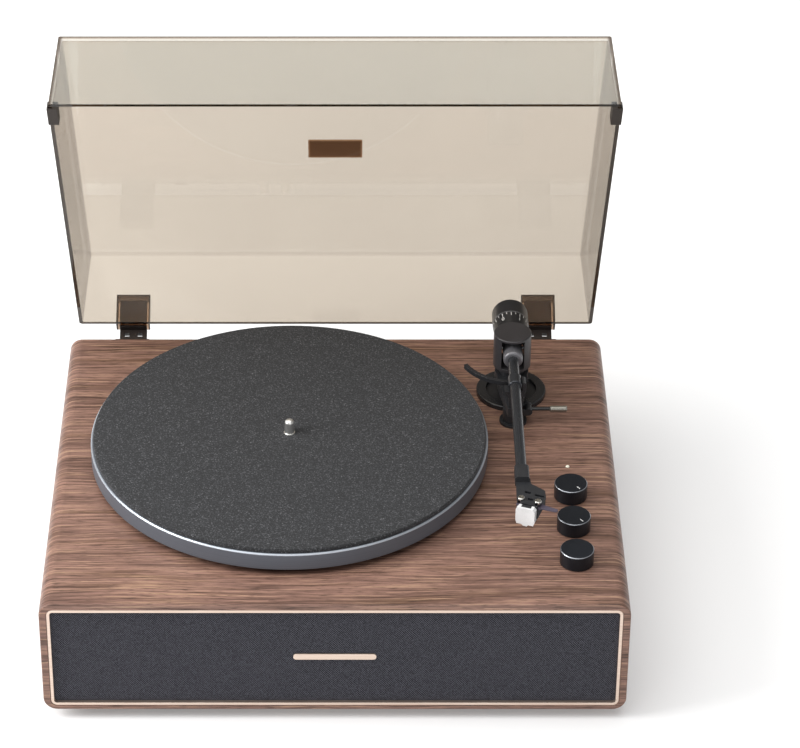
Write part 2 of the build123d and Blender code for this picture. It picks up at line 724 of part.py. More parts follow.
def hex_nut(x, y, z0, z1, radius, bore):
    nut = extrude(Pos(x, y, z0) * RegularPolygon(radius, 6), amount=z1 - z0)
    return nut - upright(x, y, z0 - 1, z1 + 1, bore + PRESS_GAP)


def make_nuts():
    nuts = [hex_nut(KNOB_X, y, DECK_Z, DECK_Z + NUT_T, NUT_R, BUSHING_R) for y in KNOB_YS]
    nuts.append(hex_nut(ARM_X, ARM_Y, DECK_UNDER - PILLAR_NUT_T, DECK_UNDER, PILLAR_NUT_R, PILLAR_TAIL_R))
    return nuts


def make_knob(y, pointer, shaft_bottom):
    """A turned knob and the shaft it is pressed on."""
    knob = upright(KNOB_X, y, KNOB_Z, KNOB_TOP, KNOB_R)
    knob = chamfer(pick(knob, Axis.Z, -1), KNOB_CHAMFER)
    knob -= upright(KNOB_X, y, KNOB_Z - 1, KNOB_Z + KNOB_POCKET_D, KNOB_POCKET_R)
    shaft_top = KNOB_TOP - KNOB_CAP
    knob -= upright(KNOB_X, y, KNOB_Z, shaft_top, POT_SHAFT_R + PRESS_GAP)
    if pointer:
        groove = Pos(KNOB_R - POINTER_INSET - POINTER_L / 2, 0, 0) * Box(POINTER_L, POINTER_W, 2 * POINTER_D)
        knob -= Pos(KNOB_X, y, KNOB_TOP) * Rot(0, 0, POINTER_ANGLE) * groove
    return [knob, upright(KNOB_X, y, shaft_bottom, shaft_top, POT_SHAFT_R)]


def make_pilot_led():
    lens = upright(KNOB_X, LED_Y, DECK_UNDER, DECK_Z + LED_UP, LED_R)
    return fillet(pick(lens, Axis.Z, -1), LED_UP - SEAT_GAP)


def make_bearing_housing():
    housing = upright(PLATTER_X, PLATTER_Y, DECK_Z, DECK_Z + BEARING_FLANGE_T, BEARING_FLANGE_R)
    housing += upright(PLATTER_X, PLATTER_Y, BEARING_BOTTOM, DRIVE_BOTTOM - 0.5, BEARING_R)
    floor = BEARING_BOTTOM + BEARING_FLOOR
    housing -= upright(PLATTER_X, PLATTER_Y, floor, DRIVE_BOTTOM, SPINDLE_SHAFT_R + RUN_GAP)
    return drill(housing, BEARING_SCREWS)


def make_motor_body():
    top = MOTOR_FLANGE_Z + MOTOR_FLANGE_T
    can = upright(MOTOR_X, MOTOR_Y, MOTOR_FLANGE_Z - MOTOR_H, MOTOR_FLANGE_Z, MOTOR_R)
    can = chamfer(pick(can, Axis.Z, 0), 1)
    can += upright(MOTOR_X, MOTOR_Y, MOTOR_FLANGE_Z, top, MOTOR_FLANGE_R)
    can += upright(MOTOR_X, MOTOR_Y, top, top + MOTOR_BOSS_H, MOTOR_BOSS_R)
    shaft_end = MOTOR_FLANGE_Z - MOTOR_SHAFT_IN
    can -= upright(MOTOR_X, MOTOR_Y, shaft_end - 1, top + MOTOR_BOSS_H + 1, MOTOR_SHAFT_R + RUN_GAP)
    return drill(can, MOTOR_SCREWS)


def make_grommets():
    z = MOTOR_FLANGE_Z + MOTOR_FLANGE_T
    rings = [upright(x, y, z, z + GROMMET_H, GROMMET_R) for (x, y, _), _, _ in MOTOR_SCREWS]
    return [drill(ring, MOTOR_SCREWS) for ring in rings]


def belt_loop(grow):
    """The outline round the drive ring and the pulley, grown by an amount."""
    big = DRIVE_R + grow
    small = PULLEY_R + grow
    lean = degrees(atan2(sqrt(MOTOR_REACH ** 2 - (big - small) ** 2), big - small))
    corners = []
    for turn, (x, y, r) in ((lean, (PLATTER_X, PLATTER_Y, big)), (lean, (MOTOR_X, MOTOR_Y, small)),
                            (-lean, (MOTOR_X, MOTOR_Y, small)), (-lean, (PLATTER_X, PLATTER_Y, big))):
        a = radians(MOTOR_ANGLE + turn)
        corners.append((x + r * cos(a), y + r * sin(a)))
    top = BELT_Z + BELT_W
    loop = plate(corners, BELT_Z, top)
    loop += upright(PLATTER_X, PLATTER_Y, BELT_Z, top, big)
    return loop + upright(MOTOR_X, MOTOR_Y, BELT_Z, top, small)


def make_belt():
    return belt_loop(SEAT_GAP + BELT_T) - belt_loop(SEAT_GAP)


def make_pulley():
    z = DRIVE_BOTTOM
    pulley = upright(MOTOR_X, MOTOR_Y, z, z + PULLEY_H, PULLEY_R)
    for low in (z, z + PULLEY_H - PULLEY_FLANGE_T):
        pulley += upright(MOTOR_X, MOTOR_Y, low, low + PULLEY_FLANGE_T, PULLEY_FLANGE_R)
    return pulley + upright(MOTOR_X, MOTOR_Y, MOTOR_FLANGE_Z - MOTOR_SHAFT_IN, z, MOTOR_SHAFT_R)


def make_platter():
    inner = PLATTER_R - PLATTER_RIM_T
    bore = SPINDLE_SHAFT_R + PRESS_GAP
    return turned([
        (bore, WEB_UNDER), (inner, WEB_UNDER), (inner, PLATTER_BOTTOM),
        (PLATTER_R - PLATTER_CHAMFER, PLATTER_BOTTOM), (PLATTER_R, PLATTER_BOTTOM + PLATTER_CHAMFER),
        (PLATTER_R, PLATTER_TOP - PLATTER_CHAMFER), (PLATTER_R - PLATTER_CHAMFER, PLATTER_TOP),
        (bore, PLATTER_TOP),
    ], PLATTER_X, PLATTER_Y)


def make_mat():
    bore = SPINDLE_SHAFT_R + PRESS_GAP
    return turned([
        (bore, PLATTER_TOP), (MAT_R, PLATTER_TOP), (MAT_R, MAT_TOP - MAT_CHAMFER),
        (MAT_R - MAT_CHAMFER, MAT_TOP), (bore, MAT_TOP),
    ], PLATTER_X, PLATTER_Y)


def make_sub_platter():
    bore = SPINDLE_SHAFT_R + PRESS_GAP
    inner = DRIVE_R - DRIVE_T
    return turned([
        (bore, DRIVE_BOTTOM), (HUB_R, DRIVE_BOTTOM), (HUB_R, DISC_UNDER), (inner, DISC_UNDER),
        (inner, DRIVE_BOTTOM), (DRIVE_R, DRIVE_BOTTOM), (DRIVE_R, DISC_UNDER), (DISC_R, DISC_UNDER),
        (DISC_R, WEB_UNDER), (bore, WEB_UNDER),
    ], PLATTER_X, PLATTER_Y)


def make_spindle():
    """The shaft in the bearing, with a shoulder level with the mat, and the thinner pin above it."""
    bottom = BEARING_BOTTOM + BEARING_FLOOR + END_GAP
    spindle = upright(PLATTER_X, PLATTER_Y, MAT_TOP, SPINDLE_END, SPINDLE_R)
    spindle = fillet(pick(spindle, Axis.Z, -1), SPINDLE_DOME_R)
    return spindle + upright(PLATTER_X, PLATTER_Y, bottom, MAT_TOP, SPINDLE_SHAFT_R)


def make_arm_base_ring():
    ring = upright(ARM_X, ARM_Y, DECK_Z, DECK_Z + BASE_RING_H, BASE_RING_R)
    ring = fillet(pick(ring, Axis.Z, -1), BASE_RING_ROUND)
    return ring - upright(ARM_X, ARM_Y, DECK_Z - 1, DECK_Z + BASE_RING_H + 1, BASE_RING_BORE_R)


def make_arm_pillar():
    pillar = upright(ARM_X, ARM_Y, DECK_Z, DECK_Z + PILLAR_FOOT_H, BASE_RING_BORE_R - SEAT_GAP)
    pillar += upright(ARM_X, ARM_Y, DECK_Z, YOKE_BOTTOM - SWING_GAP, PILLAR_R)
    pillar += upright(ARM_X, ARM_Y, DECK_Z - PILLAR_TAIL_D, DECK_Z, PILLAR_TAIL_R)
    bottom = DECK_Z - PILLAR_TAIL_D + PILLAR_FLOOR
    return pillar - upright(ARM_X, ARM_Y, bottom, YOKE_BOTTOM, SHAFT_R + RUN_GAP)


def make_rest_bracket():
    """The tapered bracket on the pillar, with the hook that the arm is parked on."""
    half = [(REST_BACK_W / 2, ARM_Y), (REST_MID_W / 2, REST_MID_Y), (REST_FRONT_W / 2, REST_FRONT_Y)]
    outline = [(ARM_X + w, y) for w, y in half] + [(ARM_X - w, y) for w, y in reversed(half)]
    bracket = plate(outline, REST_BOTTOM, REST_TOP)
    bracket += upright(ARM_X, ARM_Y, REST_BOTTOM, REST_TOP, REST_RING_R)
    bracket -= upright(ARM_X, ARM_Y, REST_BOTTOM - 1, REST_TOP + 1, PILLAR_R + PRESS_GAP)
    bracket -= upright(ARM_X, LIFT_Y, REST_BOTTOM - 1, REST_TOP + 1, LIFT_POST_R + RUN_GAP)
    inner = BAND_R + SWING_GAP
    y0 = BAND_Y - HOOK_L / 2
    y1 = BAND_Y + HOOK_L / 2
    low = SADDLE_Z - HOOK_SADDLE_T
    neck = REST_FRONT_W / 2 - 0.4
    wall = inner + HOOK_WALL_T
    outline = [
        (-neck, REST_TOP), (neck, REST_TOP), (neck, low - HOOK_SLOPE), (wall, low), (wall, HOOK_WALL_TOP - 1),
        (wall - 1, HOOK_WALL_TOP), (inner, HOOK_WALL_TOP), (inner, SADDLE_Z), (-HOOK_LIP, SADDLE_Z),
        (-HOOK_LIP, low + 1), (-neck, low + 1 - HOOK_SLOPE),
    ]
    hook = front_profile([(ARM_X + x, z) for x, z in outline], y0, y1)
    return bracket + hook


def make_lift_column():
    """The damped lift under the bracket, with the two ears that hold the lever's pin."""
    column = upright(ARM_X, LIFT_Y, DECK_Z, DECK_Z + LIFT_FOOT_H, LIFT_FOOT_R)
    column += upright(ARM_X, LIFT_Y, DECK_Z, REST_BOTTOM, LIFT_COLUMN_R)
    column += upright(ARM_X, LIFT_Y, DECK_Z - LIFT_TAIL_D, DECK_Z, LIFT_TAIL_R)
    inner = LEVER_HUB_W / 2 + LEVER_EAR_GAP
    for side in (-1, 1):
        y0, y1 = sorted((LIFT_Y + side * inner, LIFT_Y + side * (inner + LEVER_EAR_T)))
        column += box(ARM_X + LIFT_COLUMN_R / 2, LEVER_X, y0, y1, LEVER_Z - LEVER_EAR_R, REST_BOTTOM)
        column += lengthways(LEVER_X, y0, y1, LEVER_Z, LEVER_EAR_R)
    column -= box(ARM_X + LIFT_COLUMN_R - 1, ARM_X + LIFT_COLUMN_R + 1, LIFT_Y - inner, LIFT_Y + inner,
                  LEVER_Z - LEVER_EAR_R, REST_BOTTOM + 1)
    column += lengthways(LEVER_X, LIFT_Y - inner - 1, LIFT_Y + inner + 1, LEVER_Z, LEVER_PIN_R)
    return column - upright(ARM_X, LIFT_Y, DECK_Z + LIFT_FLOOR, REST_BOTTOM + 1, LIFT_POST_R + RUN_GAP)


def make_cue_lever():
    half = LEVER_HUB_W / 2
    lever = lengthways(LEVER_X, LIFT_Y - half, LIFT_Y + half, LEVER_Z, LEVER_HUB_R)
    lever += across(LEVER_X, LEVER_GRIP_X, LIFT_Y, LEVER_Z, LEVER_ROD_R)
    grip = across(LEVER_GRIP_X - 1, LEVER_TIP_X, LIFT_Y, LEVER_Z, LEVER_GRIP_R)
    grip = chamfer(pick(grip, Axis.X, 0) + pick(grip, Axis.X, -1), 0.6)
    lever += grip
    return lever - lengthways(LEVER_X, LIFT_Y - half - 1, LIFT_Y + half + 1, LEVER_Z, LEVER_PIN_R + RUN_GAP)


def make_lift_bar():
    """The curved bar under the arm tube, on its sliding post."""
    low = LIFT_BAR_TOP - LIFT_BAR_T
    outer = upright(ARM_X, ARM_Y, low, LIFT_BAR_TOP, LIFT_R + LIFT_BAR_W / 2)
    inner = upright(ARM_X, ARM_Y, low - 1, LIFT_BAR_TOP + 1, LIFT_R - LIFT_BAR_W / 2)
    reach = 4 * LIFT_R
    start, end = [radians(angle) for angle in LIFT_BAR_ANGLES]
    wedge = plate([
        (ARM_X, ARM_Y), (ARM_X + reach * cos(start), ARM_Y + reach * sin(start)),
        (ARM_X - reach, ARM_Y - reach), (ARM_X + reach * cos(end), ARM_Y + reach * sin(end)),
    ], low, LIFT_BAR_TOP)
    bar = (outer - inner) & wedge
    return bar + upright(ARM_X, LIFT_Y, DECK_Z + LIFT_FLOOR + 0.5, low + 1, LIFT_POST_R)


def make_yoke():
    yoke = upright(ARM_X, ARM_Y, YOKE_BOTTOM, YOKE_TOP, YOKE_R)
    yoke = chamfer(pick(yoke, Axis.Z, -1), YOKE_CHAMFER)
    half = YOKE_SLOT_W / 2
    low = YOKE_BOTTOM + YOKE_FLOOR
    high = YOKE_TOP - YOKE_ROOF
    past = YOKE_R + 1
    yoke -= box(ARM_X - half, ARM_X + half, ARM_Y - past, ARM_Y + past, low, high)
    yoke -= box(ARM_X - half, ARM_X + half, ARM_Y + COLLAR_BACK, ARM_Y + past, YOKE_BOTTOM - 1, high)
    yoke -= across(ARM_X - past, ARM_X + past, ARM_Y, ARM_Z, AXLE_R + RUN_GAP)
    return yoke + upright(ARM_X, ARM_Y, DECK_Z - PILLAR_TAIL_D + PILLAR_FLOOR + 2 * END_GAP, low, SHAFT_R)


def make_axle():
    return across(ARM_X - AXLE_L / 2, ARM_X + AXLE_L / 2, ARM_Y, ARM_Z, AXLE_R)


def make_pivot_collar():
    """The bearing block on the axle, with the stub that the weight is threaded on."""
    block = lengthways(ARM_X, ARM_Y - COLLAR_FRONT, ARM_Y + COLLAR_BACK, ARM_Z, COLLAR_R)
    block = fillet(pick(block, Axis.Y, 0), COLLAR_ROUND)
    front = ARM_Y - COLLAR_FRONT
    block -= lengthways(ARM_X, front - 1, front + TUBE_INSERT, ARM_Z, TUBE_R + PRESS_GAP)
    block += lengthways(ARM_X, ARM_Y + COLLAR_BACK, STUB_END_Y, ARM_Z, TUBE_R)
    return block - across(ARM_X - COLLAR_R - 1, ARM_X + COLLAR_R + 1, ARM_Y, ARM_Z, AXLE_R + RUN_GAP)


def make_arm_tube():
    """The tube and the band on it that lies in the rest."""
    end = ARM_Y - COLLAR_FRONT + TUBE_INSERT - 2 * SEAT_GAP
    tube = lengthways(ARM_X, TUBE_END_Y, end, ARM_Z, TUBE_R)
    tube -= lengthways(ARM_X, TUBE_END_Y - 1, end + 1, ARM_Z, TUBE_BORE_R)
    band = lengthways(ARM_X, BAND_Y - BAND_W / 2, BAND_Y + BAND_W / 2, ARM_Z, BAND_R)
    band = chamfer(pick(band, Axis.Y, 0) + pick(band, Axis.Y, -1), 0.5)
    band -= lengthways(ARM_X, BAND_Y - BAND_W, BAND_Y + BAND_W, ARM_Z, TUBE_R + PRESS_GAP)
    return [tube, band]


def in_head(piece):
    """Moves a piece drawn with the cartridge pointing along -Y at the origin to its place."""
    return Pos(HEAD_X, HEAD_Y, 0) * Rot(0, 0, HEAD_ANGLE) * piece


def head_screw_places():
    return [side * HEAD_SCREWS / 2 for side in (-1, 1)]


def make_headshell():
    top = HEAD_Z + HEAD_T
    shell = plate([(ARM_X + x, ARM_Y + y) for x, y in HEAD_OUTLINE], HEAD_Z, top)
    half = HEAD_COLLAR_W / 2
    y0 = HEAD_COLLAR_Y - HEAD_COLLAR_L
    collar = box(ARM_X - half, ARM_X + half, y0, HEAD_COLLAR_Y, *HEAD_COLLAR_Z)
    collar = fillet(collar.edges().filter_by(Axis.Y), HEAD_COLLAR_ROUND)
    shell += collar
    shell -= lengthways(ARM_X, TUBE_END_Y - 2 * SEAT_GAP, HEAD_COLLAR_Y + 1, ARM_Z, TUBE_R + PRESS_GAP)
    for x in head_screw_places():
        straight = HEAD_SLOT_L - 2 * HEAD_SLOT_R
        slot = Pos(x, HEAD_SLOT_SHIFT, HEAD_Z) * Box(2 * HEAD_SLOT_R, straight, 3 * HEAD_T)
        for end in (-1, 1):
            y = HEAD_SLOT_SHIFT + end * straight / 2
            slot += upright(x, y, HEAD_Z - HEAD_T, top + HEAD_T, HEAD_SLOT_R)
        shell -= in_head(slot)
    for x0, x1, y0, y1 in HEAD_WINDOWS:
        shell -= in_head(box(x0, x1, y0, y1, HEAD_Z - 1, top + 1))
    return shell


def make_finger_lift():
    half_w, half_d = FINGER_PLATE
    lift = box(-half_w, half_w, -half_d, half_d, CART_TOP, HEAD_Z)
    blade = [(half_w - 1, -FINGER_ROOT_W / 2), (FINGER_TIP - 1, -FINGER_TIP_W / 2 - 1), (FINGER_TIP, -1),
             (FINGER_TIP - 0.4, FINGER_TIP_W / 2 - 1), (half_w - 1, FINGER_ROOT_W / 2)]
    lift += plate(blade, CART_TOP, HEAD_Z)
    for x in head_screw_places():
        lift -= upright(x, 0, CART_TOP - 1, HEAD_Z + 1, CART_SCREW_R + PRESS_GAP)
    return in_head(lift)


def make_cartridge_body():
    low = CART_TOP - BODY_H
    half = BODY_W / 2
    step = low + BODY_STEP_H
    body = box(-half, half, -BODY_FRONT, BODY_BACK, step, CART_TOP)
    half_low = half - BODY_STEP_SIDE
    body += box(-half_low, half_low, -BODY_FRONT, BODY_BACK - BODY_STEP_BACK, low, step)
    nose_low = STYLUS_Z[1] - NOSE_H
    body += box(-NOSE_W / 2, NOSE_W / 2, -BODY_FRONT - NOSE_L, -BODY_FRONT, nose_low, STYLUS_Z[1])
    for x in head_screw_places():
        body -= upright(x, 0, HEAD_Z + HEAD_T - CART_SCREW_L - 0.3, CART_TOP + 1, CART_SCREW_R + PRESS_GAP)
    return in_head(body)


def make_stylus_assembly():
    """The white guard in front, the keel under the body and the cantilever with its tip."""
    y1 = -BODY_FRONT - STYLUS_GAP
    y0 = y1 - STYLUS_T
    low, high = STYLUS_Z
    half = STYLUS_W / 2
    right_side = [(1.5, low), (2.5, low + 1.2), (half - 1, low + 1.2), (half, low + 4), (half, high - 2),
                  (half - 1.5, high)]
    left_side = [(-x, z) for x, z in reversed(right_side)]
    guard = front_profile(right_side + left_side, y0, y1)
    nose = NOSE_W / 2 + SEAT_GAP
    guard -= box(-nose, nose, -BODY_FRONT - NOSE_L - SEAT_GAP, y1 + 1, high - NOSE_H - SEAT_GAP, high + 1)
    keel_top = CART_TOP - BODY_H - SEAT_GAP
    guard += box(-STYLUS_KEEL_W / 2, STYLUS_KEEL_W / 2, y1, STYLUS_KEEL_BACK, low + 0.6, keel_top)
    guard += Pos(0, CANTILEVER[1] / 2 - STYLUS_TIP_REACH - 0.5, low + 0.1) * Box(*CANTILEVER)
    tip_mid = (STYLUS_TIP_Z + low) / 2
    tip = Pos(0, -STYLUS_TIP_REACH, tip_mid) * Cone(STYLUS_TIP_R, STYLUS_ROOT_R, low - STYLUS_TIP_Z)
    return in_head(guard + tip)


def make_cartridge_screws():
    seat = HEAD_Z + HEAD_T
    sizes = (CART_SCREW_L, CART_SCREW_R, CART_SCREW_HEAD_R, CART_SCREW_HEAD_H)
    return [in_head(screw((x, 0, seat), (0, 0, -1), *sizes)) for x in head_screw_places()]


def make_weight_insert():
    ring = lengthways(ARM_X, INSERT_Y, INSERT_Y + INSERT_L, ARM_Z, INSERT_R)
    return ring - lengthways(ARM_X, INSERT_Y - 1, INSERT_Y + INSERT_L + 1, ARM_Z, TUBE_R + RUN_GAP)


def make_counterweight():
    back = WEIGHT_Y + WEIGHT_L
    weight = lengthways(ARM_X, WEIGHT_Y, back, ARM_Z, WEIGHT_R)
    weight = fillet(pick(weight, Axis.Y, -1), WEIGHT_ROUND)
    weight += lengthways(ARM_X, DIAL_Y + 0.6, WEIGHT_Y, ARM_Z, WEIGHT_BOSS_R)
    return weight - lengthways(ARM_X, DIAL_Y - 1, back - WEIGHT_CAP, ARM_Z, INSERT_R + RUN_GAP)


def make_force_dial():
    bore = WEIGHT_BOSS_R + RUN_GAP
    back = WEIGHT_Y - SEAT_GAP
    return turned_lengthways([
        (bore, DIAL_Y), (DIAL_FRONT_R, DIAL_Y), (WEIGHT_R, back - DIAL_LIP), (WEIGHT_R, back), (bore, back),
    ], ARM_X, ARM_Z)


def lid_section(inset, height):
    """The lid's rounded outline, inset from its rim, at a height above the rim."""
    radius = max(LID_CORNER_R - inset * 0.5, 0.4)
    return Pos(0, LID_BACK_Y - LID_D / 2, LID_Z + height) * RectangleRounded(
        LID_W - 2 * inset, LID_D - 2 * inset, radius)


def lid_inset(height):
    """How far the lid's walls lean in at a height above its rim."""
    return height * LID_LEAN


def make_lid():
    shoulder = LID_H - LID_EDGE_R
    inner_top = LID_H - LID_WALL
    shoulder_line = lid_section(lid_inset(shoulder), shoulder)
    outer = loft([lid_section(0, 0), shoulder_line], ruled=True)
    outer += loft([shoulder_line, lid_section(lid_inset(LID_H) + LID_EDGE_R, LID_H)], ruled=True)
    inner = [lid_section(LID_WALL, 0), lid_section(LID_WALL + lid_inset(inner_top), inner_top)]
    return outer - loft(inner, ruled=True)


def make_lid_badge():
    y = LID_BACK_Y - LID_BADGE_FROM_BACK
    top = LID_Z + LID_H
    badge = Pos(0, y, top + LID_BADGE_T / 2) * Box(LID_BADGE_W, LID_BADGE_D, LID_BADGE_T)
    return fillet(badge.edges().filter_by(Axis.Z), LID_BADGE_ROUND)


def make_bumpers():
    y0 = LID_FRONT_Y + BUMPER_FROM_FRONT
    shift = BUMPER_H * LID_LEAN
    bumpers = []
    for side in (-1, 1):
        wall = LID_W / 2
        top = LID_Z + BUMPER_H
        out = wall + BUMPER_OUT
        inn = wall - LID_WALL - BUMPER_IN
        slot_in = wall - LID_WALL - SEAT_GAP
        slot_out = wall + SEAT_GAP
        block = [(inn, LID_Z - BUMPER_UNDER), (out, LID_Z - BUMPER_UNDER), (out, LID_Z), (out - shift, top),
                 (slot_out - shift, top), (slot_out, LID_Z), (slot_in, LID_Z), (slot_in - shift, top),
                 (inn - shift, top)]
        outline = [(side * x, z) for x, z in block]
        bumpers.append(front_profile(outline, y0, y0 + BUMPER_L))
    return bumpers


def make_hinge_arms():
    """The S-shaped arms: a barrel on the pin, a neck up behind the cabinet and a tongue."""
    arms = []
    neck_y = PIN_Y - HINGE_NECK_BACK
    neck_back = neck_y + HINGE_NECK_T
    turn_z = HINGE_TURN_Z + HINGE_ARM_T
    tongue_top = LID_Z + HINGE_TONGUE_L
    outline = [
        (neck_y, PIN_Z), (neck_back, PIN_Z), (neck_back, turn_z - 1), (neck_back - 1, turn_z),
        (TONGUE_Y + HINGE_ARM_T, turn_z), (TONGUE_Y + HINGE_ARM_T, tongue_top), (TONGUE_Y, tongue_top),
        (TONGUE_Y, HINGE_TURN_Z), (neck_y, HINGE_TURN_Z),
    ]
    for side in (-1, 1):
        x = side * HINGE_X
        x0 = x - HINGE_ARM_W / 2
        x1 = x + HINGE_ARM_W / 2
        arm = side_profile(outline, x0, x1)
        arm += across(x0, x1, PIN_Y, PIN_Z, HINGE_BARREL_R)
        arm -= across(x0 - 1, x1 + 1, PIN_Y, PIN_Z, HINGE_PIN_R + RUN_GAP)
        for dx in (-HINGE_WINDOW_X, HINGE_WINDOW_X):
            wide, high = HINGE_WINDOW
            z = (PIN_Z + HINGE_BARREL_R + LID_Z) / 2
            arm -= Pos(x + dx, (neck_y + neck_back) / 2, z) * Box(wide, HINGE_NECK_T + 2, high)
        arms.append(arm)
    return arms


def make_hinge_pockets():
    """The clear pockets on the lid's back wall that the hinge tongues slide into."""
    front = LID_BACK_Y + POCKET_GLUE
    back = LID_BACK_Y + POCKET_BACK
    top = LID_Z + POCKET_H
    pockets = []
    for side in (-1, 1):
        x = side * HINGE_X
        pocket = side_profile([(front, LID_Z), (back, LID_Z), (back, top - POCKET_CHAMFER),
                               (back - POCKET_CHAMFER, top), (front - POCKET_H * LID_LEAN, top)],
                              x - HINGE_W / 2, x + HINGE_W / 2)
        half = HINGE_ARM_W / 2 + SEAT_GAP
        y0 = TONGUE_Y - SEAT_GAP
        pocket -= box(x - half, x + half, y0, TONGUE_Y + HINGE_ARM_T + SEAT_GAP, LID_Z - 1,
                      LID_Z + HINGE_TONGUE_L + 3 * SEAT_GAP)
        pocket -= box(x - half, x + half, y0, back + 1, LID_Z - 1, LID_Z + HINGE_ARM_T)
        pockets.append(pocket)
    return pockets


def make_hinge_brackets():
    brackets = []
    z0, z1 = HINGE_PLATE_Z
    ear_in = HINGE_ARM_W / 2 + HINGE_EAR_GAP
    for side in (-1, 1):
        x = side * HINGE_X
        bracket = box(x - HINGE_W / 2, x + HINGE_W / 2, BACK_Y, BACK_Y + HINGE_PLATE_T, z0, z1)
        for hand in (-1, 1):
            x0, x1 = sorted((x + hand * ear_in, x + hand * HINGE_W / 2))
            bracket += box(x0, x1, BACK_Y, PIN_Y, PIN_Z - HINGE_BARREL_R, PIN_Z + HINGE_BARREL_R)
            bracket += across(x0, x1, PIN_Y, PIN_Z, HINGE_BARREL_R)
        bracket -= across(x - HINGE_W, x + HINGE_W, PIN_Y, PIN_Z, HINGE_PIN_R + PRESS_GAP)
        brackets.append(drill(bracket, HINGE_SCREWS))
    return brackets


def make_hinge_pins():
    half = HINGE_W / 2
    return [across(x - half, x + half, PIN_Y, PIN_Z, HINGE_PIN_R) for x in (-HINGE_X, HINGE_X)]


def opened(pieces):
    """Turns pieces of the lid from closed to open about the hinge pins."""
    turn = Pos(0, PIN_Y, PIN_Z) * Rot(-LID_ANGLE, 0, 0) * Pos(0, -PIN_Y, -PIN_Z)
    return [turn * piece for piece in pieces]


def make_all():
    speakers = [make_speaker(side) for side in (-1, 1)]
    volume_y, tone_y, mode_y = KNOB_YS
    plunger_bottom = POT_FLOOR + PUSH + PLUNGER_GAP
    plunger_top = plunger_bottom + PLUNGER_T
    nodes = {
        "cabinet_shell": [make_cabinet_shell()],
        "front_baffle": [make_front_baffle()],
        "grille_trim": [make_grille_trim()],
        "grille_cloth": [make_grille_cloth()],
        "grille_badge": [make_grille_badge()],
        "speaker_baskets": [basket for basket, _, _ in speakers],
        "speaker_cones": [cone for _, cone, _ in speakers],
        "speaker_magnets": [magnet for _, _, magnet in speakers],
        "back_panel": [make_back_panel()],
        "case_screws": screws_of(CASE_SCREWS),
        "rubber_feet": make_feet(),
        "foot_screws": screws_of(FOOT_SCREWS),
        "dc_inlet": [make_dc_inlet()],
        "rca_sockets": make_rca_sockets(),
        "aux_socket": [make_aux_socket()],
        "amplifier_board": make_board(),
        "board_standoffs": make_standoffs(),
        "knob_pots": [make_pot(volume_y), make_pot(tone_y)],
        "mode_encoder": [make_pot(mode_y, PUSH + PLUNGER_T + 2 * PLUNGER_GAP)],
        "mode_plunger": [upright(KNOB_X, mode_y, plunger_bottom, plunger_top, PLUNGER_R)],
        "panel_nuts": make_nuts(),
        "pilot_led": [make_pilot_led()],
        "bearing_housing": [make_bearing_housing()],
        "motor_body": [make_motor_body()],
        "motor_grommets": make_grommets(),
        "drive_belt": [make_belt()],
        "arm_base_ring": [make_arm_base_ring()],
        "arm_pillar": [make_arm_pillar()],
        "rest_bracket": [make_rest_bracket()],
        "lift_column": [make_lift_column()],
        "hinge_brackets": make_hinge_brackets(),
        "hinge_pins": make_hinge_pins(),
        "hinge_screws": screws_of(HINGE_SCREWS),
        "platter": [make_platter()],
        "platter_mat": [make_mat()],
        "sub_platter": [make_sub_platter()],
        "spindle": [make_spindle()],
        "motor_pulley": [make_pulley()],
        "lid": opened([make_lid()]),
        "lid_badge": opened([make_lid_badge()]),
        "lid_bumpers": opened(make_bumpers()),
        "hinge_arms": opened(make_hinge_arms()),
        "hinge_pockets": opened(make_hinge_pockets()),
        "arm_yoke": [make_yoke()],
        "arm_axle": [make_axle()],
        "pivot_collar": [make_pivot_collar()],
        "arm_tube": make_arm_tube(),
        "headshell": [make_headshell()],
        "finger_lift": [make_finger_lift()],
        "cartridge_body": [make_cartridge_body()],
        "stylus_assembly": [make_stylus_assembly()],
        "cartridge_screws": make_cartridge_screws(),
        "weight_insert": [make_weight_insert()],
        "counterweight": [make_counterweight()],
        "force_dial": [make_force_dial()],
        "cue_lever": [make_cue_lever()],
        "lift_bar": [make_lift_bar()],
        "volume_knob": make_knob(volume_y, True, POT_FLOOR + END_GAP),
        "tone_knob": make_knob(tone_y, True, POT_FLOOR + END_GAP),
        "mode_knob": make_knob(mode_y, False, plunger_top),
    }
    return nodes


NODES = make_all()
# The origin goes under the middle of the player's box, from the cabinet's front to the lid's back
ORIGIN_Y = (FRONT_Y + NODES["lid"][0].bounding_box().max.Y) / 2

os.makedirs("parts", exist_ok=True)
for name, pieces in NODES.items():
    solids = [solid for piece in pieces for solid in (Pos(0, -ORIGIN_Y, 0) * piece).solids()]
    export_step(Compound(solids), f"parts/{name}.step")
print("nodes", len(NODES), "origin y", round(ORIGIN_Y, 4))
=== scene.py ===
import bpy
import json
from math import cos, pi, radians, sin
from mathutils import Matrix, Vector


